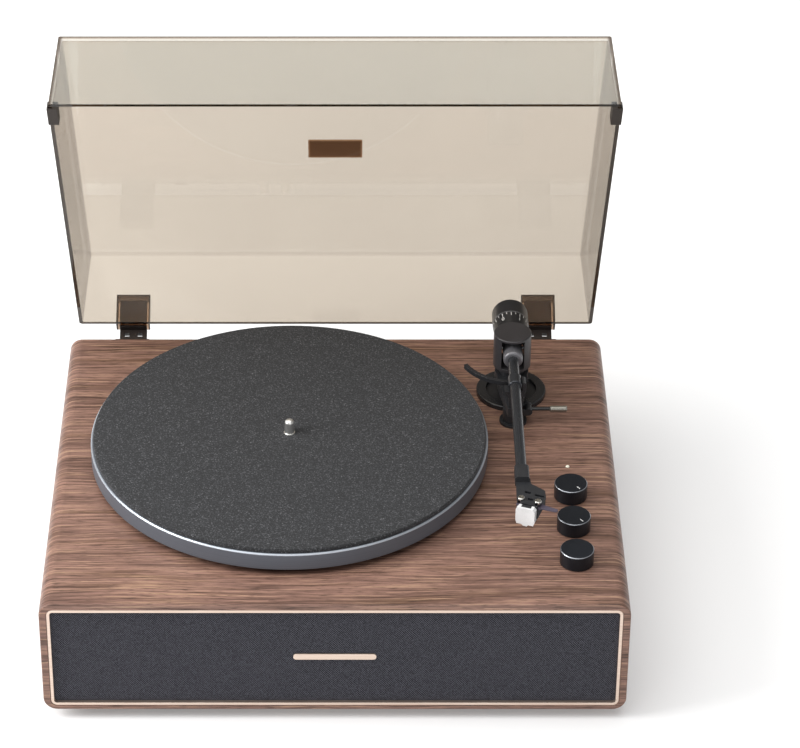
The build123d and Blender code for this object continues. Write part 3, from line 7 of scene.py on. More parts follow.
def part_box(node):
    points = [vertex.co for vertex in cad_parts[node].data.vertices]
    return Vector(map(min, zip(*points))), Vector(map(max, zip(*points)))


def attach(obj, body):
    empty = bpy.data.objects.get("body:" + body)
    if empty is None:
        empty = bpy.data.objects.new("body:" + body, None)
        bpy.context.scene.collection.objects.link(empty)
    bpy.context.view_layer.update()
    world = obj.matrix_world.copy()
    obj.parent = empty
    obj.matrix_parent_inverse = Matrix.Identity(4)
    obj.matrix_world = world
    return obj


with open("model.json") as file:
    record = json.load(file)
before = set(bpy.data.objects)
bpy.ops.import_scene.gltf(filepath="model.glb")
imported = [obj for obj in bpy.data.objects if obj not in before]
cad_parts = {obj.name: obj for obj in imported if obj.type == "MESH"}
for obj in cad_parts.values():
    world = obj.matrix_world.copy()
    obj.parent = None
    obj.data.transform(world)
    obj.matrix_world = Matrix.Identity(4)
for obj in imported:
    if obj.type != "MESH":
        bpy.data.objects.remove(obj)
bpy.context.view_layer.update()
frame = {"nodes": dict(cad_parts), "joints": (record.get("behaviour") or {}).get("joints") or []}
NODES = frame["nodes"]
JOINTS = {joint["name"]: joint for joint in frame["joints"]}

MM = 0.001


def place_of(node):
    """The middle of a node's box, in metres."""
    low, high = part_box(node)
    return (Vector(low) + Vector(high)) / 2


# Places taken from the frame, in metres
CABINET_MID = place_of("cabinet_shell")
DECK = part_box("cabinet_shell")[1][2]
PLATTER_MID = place_of("platter")
PIVOT = Vector(JOINTS["arm_swing"]["pos_m"])
HINGE = Vector(JOINTS["lid_open"]["pos_m"])
LID_OPEN = radians(61.0)
# The knobs, and whether each one has a pointer
KNOBS = {"volume_knob": True, "tone_knob": True, "mode_knob": False}

# The lid and what is on it, in millimetres, with the lid shut
LID_W = 410.6
LID_RIM_Z = 106.5
LID_TOP_Z = 168.2
LID_FRONT_Y = CABINET_MID.y * 1000 - 166.8
LID_BACK_Y = CABINET_MID.y * 1000 + 167.0
LID_LEAN = 5.15 / 61.7
LID_RIM_H = 0.3
LID_WALL = 4.0
LID_FRONT_RIM_W = 5.0
LID_EDGE_DARK = 1.4
LID_EDGE_CLEAR = 3.2
TONGUE_Z = LID_RIM_Z + 1.0
POCKET_EDGE_DARK = 0.9
POCKET_EDGE_CLEAR = 1.5
BADGE_W = 41.3
BADGE_D = 25.2
BADGE_BORDER = 1.3

# Small parts in millimetres
PLATTER_LINE_W = 1.3
PLATTER_LINE_H = 1.1
KNOB_CHAMFER_W = 0.5
KNOB_CHAMFER_H = 0.62
POINTER_INSET = 2.6
POINTER_SUNK = 0.05
GRIP_L = 13.4
CLOTH_THREAD = 1.7

# The force dial in millimetres: a cone that grows from its front end to its lip
DIAL_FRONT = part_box("force_dial")[0][1] * 1000
DIAL_CONE_L = 14.3
DIAL_FRONT_R = 11.8
DIAL_BACK_R = 14.0
DIAL_LIP_Y = DIAL_FRONT + DIAL_CONE_L + 0.1
DIAL_LIP_LINE = 0.25
DIAL_LINES = 24
DIAL_START = radians(-30)
DIAL_LINE_W = 0.45
DIAL_LINE_H = 0.08
DIAL_LINE_INSET = 1.0
DIAL_LONG_LINE = 3.4
DIAL_SHORT_LINE = 1.8
DIAL_NUMBER_SIZE = 5.0
DIAL_NUMBER_H = 0.05
DIAL_NUMBER_INSET = 7.0

# The studio in metres: the floor's side and its middle, and the middle of the patch that glows least
FLOOR_SIZE = 14
FLOOR_Y = 3.0
PATCH_Y = -0.032

# Socket numbers of the Mix node: the share of the second, two plain values, and two colours
SHARE = 0
PLAIN_A = 2
PLAIN_B = 3
UNDER = 6
OVER = 7


# Colour and node helpers

def ink(code):
    """An sRGB hex colour as linear RGBA."""
    values = [int(code[i:i + 2], 16) / 255 for i in (0, 2, 4)]
    return tuple(v / 12.92 if v <= 0.04045 else ((v + 0.055) / 1.055) ** 2.4 for v in values) + (1.0,)


def feed(finish, node, inputs):
    """Fills a node's inputs, in order or by key. A node or a socket is linked, and the rest are values."""
    for key, value in (inputs if isinstance(inputs, dict) else dict(enumerate(inputs))).items():
        if isinstance(value, bpy.types.Node):
            value = next(socket for socket in value.outputs if socket.enabled)
        if isinstance(value, bpy.types.NodeSocket):
            finish.node_tree.links.new(value, node.inputs[key])
        else:
            node.inputs[key].default_value = value


def add(finish, kind, inputs=(), stops=(), **settings):
    """Adds a node to a finish, with its settings, its inputs and, on a colour ramp, its stops."""
    made = finish.node_tree.nodes.new("ShaderNode" + kind)
    for name, value in settings.items():
        setattr(made, name, value)
    feed(finish, made, inputs)
    for stop, (where, colour) in enumerate(stops):
        if stop == len(made.color_ramp.elements):
            made.color_ramp.elements.new(1.0)
        made.color_ramp.elements[stop].position = where
        made.color_ramp.elements[stop].color = colour
    return made


def new_finish(name):
    """An empty finish: its material, its shader and the place on the object in millimetres."""
    finish = bpy.data.materials.new(name)
    finish.use_nodes = True
    finish.node_tree.nodes.clear()
    shader = add(finish, "BsdfPrincipled", name="shader")
    add(finish, "OutputMaterial", {"Surface": shader}, name="surface")
    metres = add(finish, "TexCoord").outputs["Object"]
    where = add(finish, "VectorMath", (metres, (1000, 1000, 1000)), operation="MULTIPLY", name="where")
    return finish, shader, where


def grain(finish, where, size_mm, stretch=(1, 1, 1), detail=2.0, rough=0.5):
    """Uneven lumps about size_mm across, drawn out by stretch along each axis."""
    lumps = [1 / (size_mm * times) for times in stretch]
    scaled = add(finish, "VectorMath", (where, lumps), operation="MULTIPLY")
    return add(finish, "TexNoise", {"Vector": scaled, "Scale": 1.0, "Detail": detail, "Roughness": rough})


def relief(finish, height, depth_mm, strength, round_mm=0.0):
    """Bumps from a height. With round_mm, the hard edges also catch the light as if they were rounded."""
    inputs = {"Height": height, "Distance": depth_mm * MM, "Strength": strength}
    if round_mm:
        inputs["Normal"] = add(finish, "Bevel", {"Radius": round_mm * MM}, samples=4)
    return add(finish, "Bump", inputs)


def radius_and_height(finish, where, middle):
    """Distance from an upright axis, and height, both in millimetres."""
    axis = (middle.x * 1000, middle.y * 1000, 0.0)
    centred = add(finish, "VectorMath", (where, axis), operation="SUBTRACT")
    flat = add(finish, "VectorMath", (centred, (1, 1, 0)), operation="MULTIPLY")
    radius = add(finish, "VectorMath", (flat,), operation="LENGTH")
    return radius, add(finish, "SeparateXYZ", (where,)).outputs["Z"]


def shut_place(finish, where):
    """The place on the lid with the lid shut, as x, y and z sockets."""
    shut = add(finish, "VectorRotate", {"Vector": where, "Center": tuple(HINGE * 1000), "Angle": LID_OPEN},
               rotation_type="X_AXIS")
    return add(finish, "SeparateXYZ", (shut,)).outputs


def lay_over(finish, share, colour):
    """Lays a second colour over a finish where share is 1."""
    shader = finish.node_tree.nodes["shader"]
    under = shader.inputs["Base Color"].links[0].from_node
    both = add(finish, "Mix", {SHARE: share, UNDER: under, OVER: colour}, data_type="RGBA")
    feed(finish, shader, {"Base Color": both})


def dress(finish, *names):
    """Gives nodes of the frame one finish."""
    for name in names:
        NODES[name].data.materials.clear()
        NODES[name].data.materials.append(finish)


# Finishes

def walnut_veneer():
    """Walnut veneer under satin lacquer: brown bands, darker streaks and fine open pores along the grain."""
    finish, shader, where = new_finish("walnut_veneer_satin")
    x, y, z = add(finish, "SeparateXYZ", (where,)).outputs
    side = add(finish, "Math", (x,), operation="SIGN")
    drop = add(finish, "Math", (DECK * 1000, z), operation="SUBTRACT")
    # The sheet is wrapped round the case, so its length runs over the top and down each side
    wrapped = add(finish, "Math", (side, drop, x), operation="MULTIPLY_ADD")
    facing = add(finish, "TexCoord").outputs["Normal"]
    facing_y = add(finish, "SeparateXYZ", (facing,)).outputs["Y"]
    square_on = add(finish, "Math", (facing_y,), operation="ABSOLUTE")
    front = add(finish, "Math", (square_on, 0.8), operation="GREATER_THAN")
    along = add(finish, "Mix", {SHARE: front, PLAIN_A: wrapped, PLAIN_B: x}, data_type="FLOAT")
    over = add(finish, "Mix", {SHARE: front, PLAIN_A: y, PLAIN_B: z}, data_type="FLOAT")
    sheet = add(finish, "CombineXYZ", (along, over))
    wave = add(finish, "MapRange", (grain(finish, sheet, 60, (4, 1, 1)), 0.2, 0.8, -5, 5))
    ripple = add(finish, "MapRange", (grain(finish, sheet, 14, (4, 1, 1), detail=1.0), 0.2, 0.8, -0.7, 0.7))
    waved = add(finish, "Math", (over, wave), operation="ADD")
    rippled = add(finish, "Math", (waved, ripple), operation="ADD")
    sheet = add(finish, "CombineXYZ", (along, rippled))
    bands = grain(finish, sheet, 16, (16, 1, 1), detail=3.0, rough=0.6)
    streaks = grain(finish, sheet, 1.9, (44, 1, 1), detail=3.0, rough=0.72)
    # Real pores are about 0.2 mm across, too fine to show, so they are drawn at 0.8 mm
    pores = grain(finish, sheet, 0.8, (16, 1, 1), rough=0.6)
    colour = add(finish, "ValToRGB", (bands,), stops=[(0.30, ink("664a3b")), (0.44, ink("826256")),
                                                      (0.55, ink("947163")), (0.68, ink("755746"))])
    dark = add(finish, "MapRange", (streaks, 0.47, 0.66, 0.0, 0.85))
    colour = add(finish, "Mix", {SHARE: dark, UNDER: colour, OVER: ink("412c21")}, data_type="RGBA")
    pale = add(finish, "MapRange", (streaks, 0.47, 0.30, 0.0, 0.8))
    colour = add(finish, "Mix", {SHARE: pale, UNDER: colour, OVER: ink("b89679")}, data_type="RGBA")
    pore = add(finish, "MapRange", (pores, 0.53, 0.66, 0.0, 0.7))
    colour = add(finish, "Mix", {SHARE: pore, UNDER: colour, OVER: ink("38261d")}, data_type="RGBA")
    gloss = add(finish, "MapRange", (streaks, 0.3, 0.7, 0.38, 0.50))
    dents = add(finish, "Math", (pore, -0.6), operation="MULTIPLY")
    height = add(finish, "Math", (streaks, 0.5, dents), operation="MULTIPLY_ADD")
    feed(finish, shader, {"Base Color": colour, "Roughness": gloss, "Specular IOR Level": 0.42,
                          "Normal": relief(finish, height, 0.16, 0.5)})
    return finish


def pressed_mat():
    """Pressed felt and rubber crumb: near black, with pale flecks a millimetre across."""
    finish, shader, where = new_finish("pressed_felt_crumb")
    flecks = grain(finish, where, 1.15, rough=0.75)
    clumps = grain(finish, where, 6, rough=0.6)
    colour = add(finish, "ValToRGB", (flecks,), stops=[(0.30, ink("0f0f11")), (0.48, ink("202123")),
                                                       (0.60, ink("333437")), (0.72, ink("77777a"))])
    tone = add(finish, "MapRange", (clumps, 0.3, 0.7, 0.0, 0.35))
    colour = add(finish, "Mix", {SHARE: tone, UNDER: colour, OVER: ink("19191b")}, data_type="RGBA")
    feed(finish, shader, {"Base Color": colour, "Roughness": 0.93, "Sheen Weight": 0.12,
                          "Sheen Roughness": 0.5, "Normal": relief(finish, flecks, 0.5, 0.8)})
    return finish


def anodised_tube():
    """Black anodised tube, drawn through a die: even and dark, with a soft brushed gleam."""
    finish, shader, where = new_finish("anodised_tube_black")
    # The real lines are about 0.1 mm apart, too fine to show, so they are drawn at 0.5 mm
    lines = grain(finish, where, 0.5, (400, 400, 1), detail=1.0)
    black = ink("404246")
    darker = tuple(value * 0.88 for value in black[:3]) + (1.0,)
    colour = add(finish, "Mix", {SHARE: lines, UNDER: darker, OVER: black}, data_type="RGBA")
    gloss = add(finish, "MapRange", (lines, 0.3, 0.7, 0.25, 0.36))
    feed(finish, shader, {"Base Color": colour, "Metallic": 0.6, "Roughness": gloss,
                          "Normal": relief(finish, lines, 0.02, 0.35, 0.3)})
    return finish


def platter_finish():
    """Turned aluminium under blue-grey satin lacquer, with a bare bright line where the rim meets the top."""
    finish, shader, where = new_finish("turned_aluminium_blue_grey")
    low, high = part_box("platter")
    radius, height = radius_and_height(finish, where, PLATTER_MID)
    spiral = add(finish, "CombineXYZ", (radius, height))
    # The cutter's lines are about 0.1 mm apart, too fine to show, so they are drawn at 0.6 mm
    rings = grain(finish, spiral, 0.6, detail=1.0)
    colour = add(finish, "Mix", {SHARE: rings, UNDER: ink("565b64"), OVER: ink("6c727b")}, data_type="RGBA")
    crown = add(finish, "Math", (height, high[2] * 1000 - PLATTER_LINE_H), operation="GREATER_THAN")
    rim = add(finish, "Math", (radius, (high[0] - low[0]) * 500 - PLATTER_LINE_W), operation="GREATER_THAN")
    bare = add(finish, "Math", (crown, rim), operation="MULTIPLY")
    colour = add(finish, "Mix", {SHARE: bare, UNDER: colour, OVER: ink("b4bac2")}, data_type="RGBA")
    metal = add(finish, "Math", (bare, 0.5, 0.25), operation="MULTIPLY_ADD")
    gloss = add(finish, "MapRange", (rings, 0.3, 0.7, 0.36, 0.46))
    feed(finish, shader, {"Base Color": colour, "Metallic": metal, "Roughness": gloss,
                          "Normal": relief(finish, rings, 0.02, 0.35, 0.5)})
    return finish


def champagne_anodised():
    """Anodised aluminium in pale champagne gold, with the fine lines of the drawn strip."""
    finish, shader, where = new_finish("anodised_aluminium_champagne")
    # The real lines are about 0.1 mm apart, too fine to show, so they are drawn at 0.6 mm
    lines = grain(finish, where, 0.6, (60, 1, 1), detail=1.0)
    colour = add(finish, "Mix", {SHARE: lines, UNDER: ink("c6ad9b"), OVER: ink("e6d5c8")}, data_type="RGBA")
    gloss = add(finish, "MapRange", (lines, 0.3, 0.7, 0.28, 0.38))
    feed(finish, shader, {"Base Color": colour, "Metallic": 0.9, "Roughness": gloss,
                          "Normal": relief(finish, lines, 0.02, 0.4, 0.4)})
    return finish


def speaker_cloth():
    """Woven speaker cloth: black polyester, a plain weave with fuzz, seen as fine speckle."""
    finish, shader, where = new_finish("woven_polyester_black")
    place = add(finish, "SeparateXYZ", (where,)).outputs
    wander = add(finish, "MapRange", (grain(finish, where, 9), 0.2, 0.8, -0.5, 0.5))
    # Real threads are about 0.7 mm apart, too fine to show, so CLOTH_THREAD is coarser
    waves = []
    for across in (place["X"], place["Z"]):
        bent = add(finish, "Math", (across, wander), operation="ADD")
        turns = add(finish, "Math", (bent, 2 * pi / CLOTH_THREAD), operation="MULTIPLY")
        waves.append(add(finish, "Math", (turns,), operation="SINE"))
    crossed = add(finish, "Math", waves, operation="MULTIPLY")
    weave = add(finish, "Math", (crossed, 0.5, 0.5), operation="MULTIPLY_ADD")
    threads = add(finish, "Math", (weave, 0.6), operation="MULTIPLY")
    fuzz = grain(finish, where, 0.9, rough=0.7)
    height = add(finish, "Math", (fuzz, 0.7, threads), operation="MULTIPLY_ADD")
    colour = add(finish, "ValToRGB", (height,), stops=[(0.36, ink("0d0d11")), (0.58, ink("212126")),
                                                       (0.80, ink("54545c"))])
    feed(finish, shader, {"Base Color": colour, "Roughness": 0.9, "Specular IOR Level": 0.15,
                          "Sheen Weight": 0.08, "Normal": relief(finish, height, 0.35, 0.9)})
    return finish


def clear_sheet(finish, colour, gloss, rough):
    """Light goes through each face and takes its colour. A little comes back, more at a slant."""
    through = add(finish, "BsdfTransparent", {"Color": colour})
    mirror = add(finish, "BsdfGlossy", {"Color": gloss, "Roughness": rough})
    # The same share of mirror light on the way in and on the way out
    facing = add(finish, "LayerWeight", {"Blend": 0.5}).outputs["Facing"]
    slant = add(finish, "Math", (facing, 5.0), operation="POWER")
    share = add(finish, "Math", (slant, 0.96, 0.04), operation="MULTIPLY_ADD")
    both = add(finish, "MixShader", (share, through, mirror))
    feed(finish, finish.node_tree.nodes["surface"], {"Surface": both})


def lid_acrylic():
    """Smoked acrylic: greige and clear through its faces, dark along the rim and the bends."""
    finish, shader, where = new_finish("cast_acrylic_smoke")
    finish.node_tree.nodes.remove(shader)
    x, y, z = shut_place(finish, where)
    above_rim = add(finish, "Math", (z, LID_RIM_Z), operation="SUBTRACT")
    lean = add(finish, "Math", (above_rim, LID_LEAN), operation="MULTIPLY")
    from_mid = add(finish, "Math", (x,), operation="ABSOLUTE")
    from_walls = []
    for outer, inner in ((LID_W / 2, from_mid), (y, LID_FRONT_Y), (LID_BACK_Y, y)):
        upright = add(finish, "Math", (outer, inner), operation="SUBTRACT")
        from_walls.append(add(finish, "Math", (upright, lean), operation="SUBTRACT"))
    from_front = from_walls[1]
    from_top = add(finish, "Math", (LID_TOP_Z, z), operation="SUBTRACT")
    gaps = from_walls + [from_top]
    edges = [add(finish, "MapRange", (gap, LID_EDGE_DARK, LID_EDGE_CLEAR, 1.0, 0.0)) for gap in gaps]
    side, front, back, top = edges
    # A bend is where two faces meet. The one at the back is nearly left out, to match the photograph
    walls = add(finish, "Math", (side, front), operation="ADD")
    back_and_top = add(finish, "Math", (back, top), operation="ADD")
    faces = add(finish, "Math", (walls, back_and_top), operation="ADD")
    back_bend = add(finish, "Math", (back, top), operation="MULTIPLY")
    left_out = add(finish, "Math", (back_bend, 0.8, 1.0), operation="MULTIPLY_ADD")
    bend = add(finish, "Math", (faces, left_out), operation="SUBTRACT", use_clamp=True)
    rim = add(finish, "Math", (above_rim, LID_RIM_H), operation="LESS_THAN")
    near_front = add(finish, "Math", (from_front, LID_FRONT_RIM_W), operation="LESS_THAN")
    front_rim = add(finish, "Math", (rim, near_front), operation="MULTIPLY")
    facing = add(finish, "LayerWeight", {"Blend": 0.5}).outputs["Facing"]
    cloud = grain(finish, where, 140, detail=1.0, rough=0.4)
    body = add(finish, "Mix", {SHARE: cloud, UNDER: ink("dcd6ce"), OVER: ink("e0dad2")}, data_type="RGBA")
    # The front wall takes a paler colour than the top, to match the photograph: this is painted light, the
    # wall drawn brighter as if more light came through it
    in_front = add(finish, "Math", (from_front, LID_WALL), operation="LESS_THAN")
    below_top = add(finish, "Math", (from_top, LID_EDGE_CLEAR), operation="GREATER_THAN")
    front_wall_painted_light = add(finish, "Math", (in_front, below_top), operation="MULTIPLY")
    body = add(finish, "Mix", {SHARE: front_wall_painted_light, UNDER: body, OVER: ink("eff0ee")}, data_type="RGBA")
    slant = add(finish, "Math", (facing, 6.0), operation="POWER")
    bent = add(finish, "Math", (bend, 0.9), operation="MULTIPLY")
    colour = body
    for share, code in ((slant, "6d6258"), (bent, "a39a93"), (rim, "50463c"), (front_rim, "40362c")):
        colour = add(finish, "Mix", {SHARE: share, UNDER: colour, OVER: ink(code)}, data_type="RGBA")
    gloss = add(finish, "Mix", {SHARE: bend, UNDER: ink("f3f3f3"), OVER: ink("5a5654")}, data_type="RGBA")
    scratches = grain(finish, where, 0.6, (1, 12, 1), rough=0.6)
    clear_sheet(finish, colour, gloss, add(finish, "MapRange", (scratches, 0.3, 0.75, 0.02, 0.04)))
    return finish


def pocket_acrylic():
    """Brown clear acrylic of the hinge pockets, dark along its outline, where the wall is seen end on."""
    finish, shader, where = new_finish("cast_acrylic_brown")
    finish.node_tree.nodes.remove(shader)
    facing = add(finish, "LayerWeight", {"Blend": 0.5}).outputs["Facing"]
    slant = add(finish, "Math", (facing, 1.6), operation="POWER")
    cloud = grain(finish, where, 9)
    body = add(finish, "Mix", {SHARE: cloud, UNDER: ink("dcc9b8"), OVER: ink("e6d5c5")}, data_type="RGBA")
    colour = add(finish, "Mix", {SHARE: slant, UNDER: body, OVER: ink("54402f")}, data_type="RGBA")
    pockets = NODES["hinge_pockets"]
    shut = Matrix.Rotation(LID_OPEN, 3, "X")
    corners = [HINGE + shut @ (pockets.matrix_world @ v.co - HINGE) for v in pockets.data.vertices]
    outer_x = max(corner.x for corner in corners) * 1000
    inner_x = min(corner.x for corner in corners if corner.x > 0) * 1000
    top_z = max(corner.z for corner in corners) * 1000
    shut_at = shut_place(finish, where)
    from_lid_mid = add(finish, "Math", (shut_at["X"],), operation="ABSOLUTE")
    off_mid = add(finish, "Math", (from_lid_mid, (outer_x + inner_x) / 2), operation="SUBTRACT")
    from_mid = add(finish, "Math", (off_mid,), operation="ABSOLUTE")
    from_side = add(finish, "Math", ((outer_x - inner_x) / 2, from_mid), operation="SUBTRACT")
    from_top = add(finish, "Math", (top_z, shut_at["Z"]), operation="SUBTRACT")
    from_edge = add(finish, "Math", (from_side, from_top), operation="MINIMUM")
    edge = add(finish, "MapRange", (from_edge, POCKET_EDGE_DARK, POCKET_EDGE_CLEAR, 0.85, 0.0))
    colour = add(finish, "Mix", {SHARE: edge, UNDER: colour, OVER: ink("3d2c20")}, data_type="RGBA")
    clear_sheet(finish, colour, ink("f3f3f3"), 0.08)
    return finish


def badge_plate():
    """Brown anodised plate with a paler raised border, left bare, and a glow painted on as light."""
    finish, shader, where = new_finish("anodised_plate_brown")
    shut_at = shut_place(finish, where)
    middle = HINGE + Matrix.Rotation(LID_OPEN, 3, "X") @ (place_of("lid_badge") - HINGE)
    strips = []
    for axis, mid, size in (("X", middle.x, BADGE_W), ("Y", middle.y, BADGE_D)):
        off_mid = add(finish, "Math", (shut_at[axis], mid * 1000), operation="SUBTRACT")
        from_mid = add(finish, "Math", (off_mid,), operation="ABSOLUTE")
        strips.append(add(finish, "Math", (from_mid, size / 2 - BADGE_BORDER), operation="GREATER_THAN"))
    border = add(finish, "Math", strips, operation="MAXIMUM")
    brushed = grain(finish, where, 0.4, (30, 1, 1), rough=0.6)
    colour = add(finish, "Mix", {SHARE: brushed, UNDER: ink("5f4432"), OVER: ink("70543f")}, data_type="RGBA")
    colour = add(finish, "Mix", {SHARE: border, UNDER: colour, OVER: ink("93745b")}, data_type="RGBA")
    gloss = add(finish, "MapRange", (brushed, 0.3, 0.7, 0.34, 0.46))
    # Painted light: a glow of its own, though the plate is no lamp, brightens it so that it stays as brown as
    # it is in the photograph
    feed(finish, shader, {"Base Color": colour, "Emission Color": colour, "Emission Strength": 0.85,
                          "Roughness": gloss, "Normal": relief(finish, border, 0.3, 0.6, 0.3)})
    return finish


def satin_coat(name, base, rough, grit_mm=0.5, metal=0.0, depth=0.03):
    """Paint or moulded plastic: an even colour with a fine grit and a faint unevenness of sheen."""
    finish, shader, where = new_finish(name)
    # The grit of a real coat is under 0.1 mm, too fine to show, so grit_mm is coarser
    grit = grain(finish, where, grit_mm, rough=0.6)
    cloud = add(finish, "MapRange", (grain(finish, where, 18), 0.3, 0.7, 0.0, 0.6))
    lighter = tuple(min(1.0, value * 1.35 + 0.004) for value in base[:3]) + (1.0,)
    colour = add(finish, "Mix", {SHARE: cloud, UNDER: base, OVER: lighter}, data_type="RGBA")
    gloss = add(finish, "MapRange", (grit, 0.3, 0.7, rough - 0.05, rough + 0.07))
    feed(finish, shader, {"Base Color": colour, "Metallic": metal, "Roughness": gloss,
                          "Normal": relief(finish, grit, depth, 0.5, 0.35)})
    return finish


def knob_finish(name, pointer):
    """Black anodised aluminium, a bright diamond-cut chamfer, and white paint in the pointer's groove."""
    finish, shader, where = new_finish(name + "_finish")
    low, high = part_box(name)
    knob_r = (high[0] - low[0]) * 500
    top = high[2] * 1000
    radius, height = radius_and_height(finish, where, place_of(name))
    rim = add(finish, "Math", (radius, knob_r - KNOB_CHAMFER_W), operation="GREATER_THAN")
    crown = add(finish, "Math", (height, top - KNOB_CHAMFER_H), operation="GREATER_THAN")
    cut = add(finish, "Math", (rim, crown), operation="MULTIPLY")
    spiral = add(finish, "CombineXYZ", (radius, height))
    # The cutter's lines are about 0.1 mm apart, too fine to show, so they are drawn at 0.35 mm
    rings = grain(finish, spiral, 0.35, detail=1.0)
    black = add(finish, "Mix", {SHARE: rings, UNDER: ink("0f1216"), OVER: ink("1c212a")}, data_type="RGBA")
    colour = add(finish, "Mix", {SHARE: cut, UNDER: black, OVER: ink("a4a7ad")}, data_type="RGBA")
    if pointer:
        within = add(finish, "Math", (radius, knob_r - POINTER_INSET), operation="LESS_THAN")
        sunk = add(finish, "Math", (height, top - POINTER_SUNK), operation="LESS_THAN")
        groove = add(finish, "Math", (within, sunk), operation="MULTIPLY")
        colour = add(finish, "Mix", {SHARE: groove, UNDER: colour, OVER: ink("e8e8e8")}, data_type="RGBA")
    metal = add(finish, "Math", (cut, 0.55, 0.35), operation="MULTIPLY_ADD")
    gloss = add(finish, "MapRange", (rings, 0.3, 0.7, 0.32, 0.44))
    feed(finish, shader, {"Base Color": colour, "Metallic": metal, "Roughness": gloss,
                          "Normal": relief(finish, rings, 0.02, 0.4)})
    return finish


def bright_metal(name, base, rough):
    """Polished plating with the faint scratches of handling."""
    finish, shader, where = new_finish(name)
    scratches = grain(finish, where, 0.5, (1, 8, 1), detail=3.0, rough=0.7)
    darker = tuple(value * 0.85 for value in base[:3]) + (1.0,)
    colour = add(finish, "Mix", {SHARE: scratches, UNDER: darker, OVER: base}, data_type="RGBA")
    gloss = add(finish, "MapRange", (scratches, 0.3, 0.7, rough, rough + 0.08))
    feed(finish, shader, {"Base Color": colour, "Metallic": 1.0, "Roughness": gloss})
    return finish


def lever_finish():
    """A black painted rod whose grip is turned bright."""
    finish = satin_coat("painted_rod_bright_grip", ink("141416"), rough=0.35)
    x = add(finish, "SeparateXYZ", (finish.node_tree.nodes["where"],)).outputs["X"]
    grip_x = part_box("cue_lever")[1][0] * 1000 - GRIP_L
    grip = add(finish, "Math", (x, grip_x), operation="GREATER_THAN")
    lay_over(finish, grip, ink("8c8a82"))
    metal = add(finish, "Math", (grip, 0.9), operation="MULTIPLY")
    feed(finish, finish.node_tree.nodes["shader"], {"Metallic": metal})
    return finish


def hinge_arm_finish():
    """Dark brown moulded arm whose tongue, inside the clear pocket, is a paler brown."""
    finish = satin_coat("moulded_arm_brown", ink("231a16"), rough=0.4, grit_mm=0.4)
    z = shut_place(finish, finish.node_tree.nodes["where"])["Z"]
    tongue = add(finish, "Math", (z, TONGUE_Z), operation="GREATER_THAN")
    lay_over(finish, tongue, ink("dcc9ae"))
    return finish


def dial_finish():
    """Black moulded dial with a thin pale line round the start of its lip."""
    finish = satin_coat("moulded_dial_black", ink("1b1b1d"), rough=0.36, grit_mm=0.35)
    y = add(finish, "SeparateXYZ", (finish.node_tree.nodes["where"],)).outputs["Y"]
    off = add(finish, "Math", (y, DIAL_LIP_Y), operation="SUBTRACT")
    from_line = add(finish, "Math", (off,), operation="ABSOLUTE")
    line = add(finish, "Math", (from_line, DIAL_LIP_LINE), operation="LESS_THAN")
    lay_over(finish, line, ink("8b8b8e"))
    return finish


# Printed marks of the force dial

def on_dial(turn_angle, along):
    """A place and a turn on the dial's cone: along is in millimetres from its front end."""
    slope = (DIAL_BACK_R - DIAL_FRONT_R) / DIAL_CONE_L
    radius = (DIAL_FRONT_R + slope * along) * MM
    out = Vector((sin(turn_angle), 0.0, cos(turn_angle)))
    right = Vector((cos(turn_angle), 0.0, -sin(turn_angle)))
    up = (Vector((0.0, 1.0, 0.0)) + out * slope).normalized()
    place = Vector((PIVOT.x, (DIAL_FRONT + along) * MM, PIVOT.z)) + out * radius
    turn = Matrix((right, up, right.cross(up))).transposed().to_4x4()
    return Matrix.Translation(place) @ turn


def dial_line(mark, angle, white):
    """A printed line, long at every second mark."""
    length = DIAL_LONG_LINE if mark % 2 == 0 else DIAL_SHORT_LINE
    bpy.ops.mesh.primitive_cube_add(size=1)
    line = bpy.context.object
    line.name = "dial_line_%02d" % mark
    line.scale = (DIAL_LINE_W * MM, length * MM, DIAL_LINE_H * MM)
    bpy.ops.object.transform_apply(location=False, rotation=False, scale=True)
    line.matrix_world = on_dial(angle, DIAL_CONE_L - DIAL_LINE_INSET - length / 2)
    line.data.materials.append(white)
    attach(line, "dial_body")


def dial_number(digit, angle, white):
    """A printed number."""
    curve = bpy.data.curves.new("dial_number_%d" % digit, "FONT")
    curve.body = str(digit)
    curve.size = DIAL_NUMBER_SIZE * MM
    curve.extrude = DIAL_NUMBER_H * MM
    curve.align_x = "CENTER"
    curve.align_y = "CENTER"
    curve.materials.append(white)
    number = bpy.data.objects.new(curve.name, curve)
    bpy.context.scene.collection.objects.link(number)
    number.matrix_world = on_dial(angle, DIAL_CONE_L - DIAL_NUMBER_INSET)
    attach(number, "dial_body")


def dial_marks():
    """White numbers 0 to 5 and fine lines between them, printed round the dial."""
    white = satin_coat("pad_print_white", ink("dcdcda"), rough=0.5, grit_mm=0.2)
    for mark in range(DIAL_LINES):
        angle = DIAL_START + mark * 2 * pi / DIAL_LINES
        dial_line(mark, angle, white)
        if mark % 4 == 0:
            dial_number(mark // 4, angle, white)


# Dressing the frame's nodes

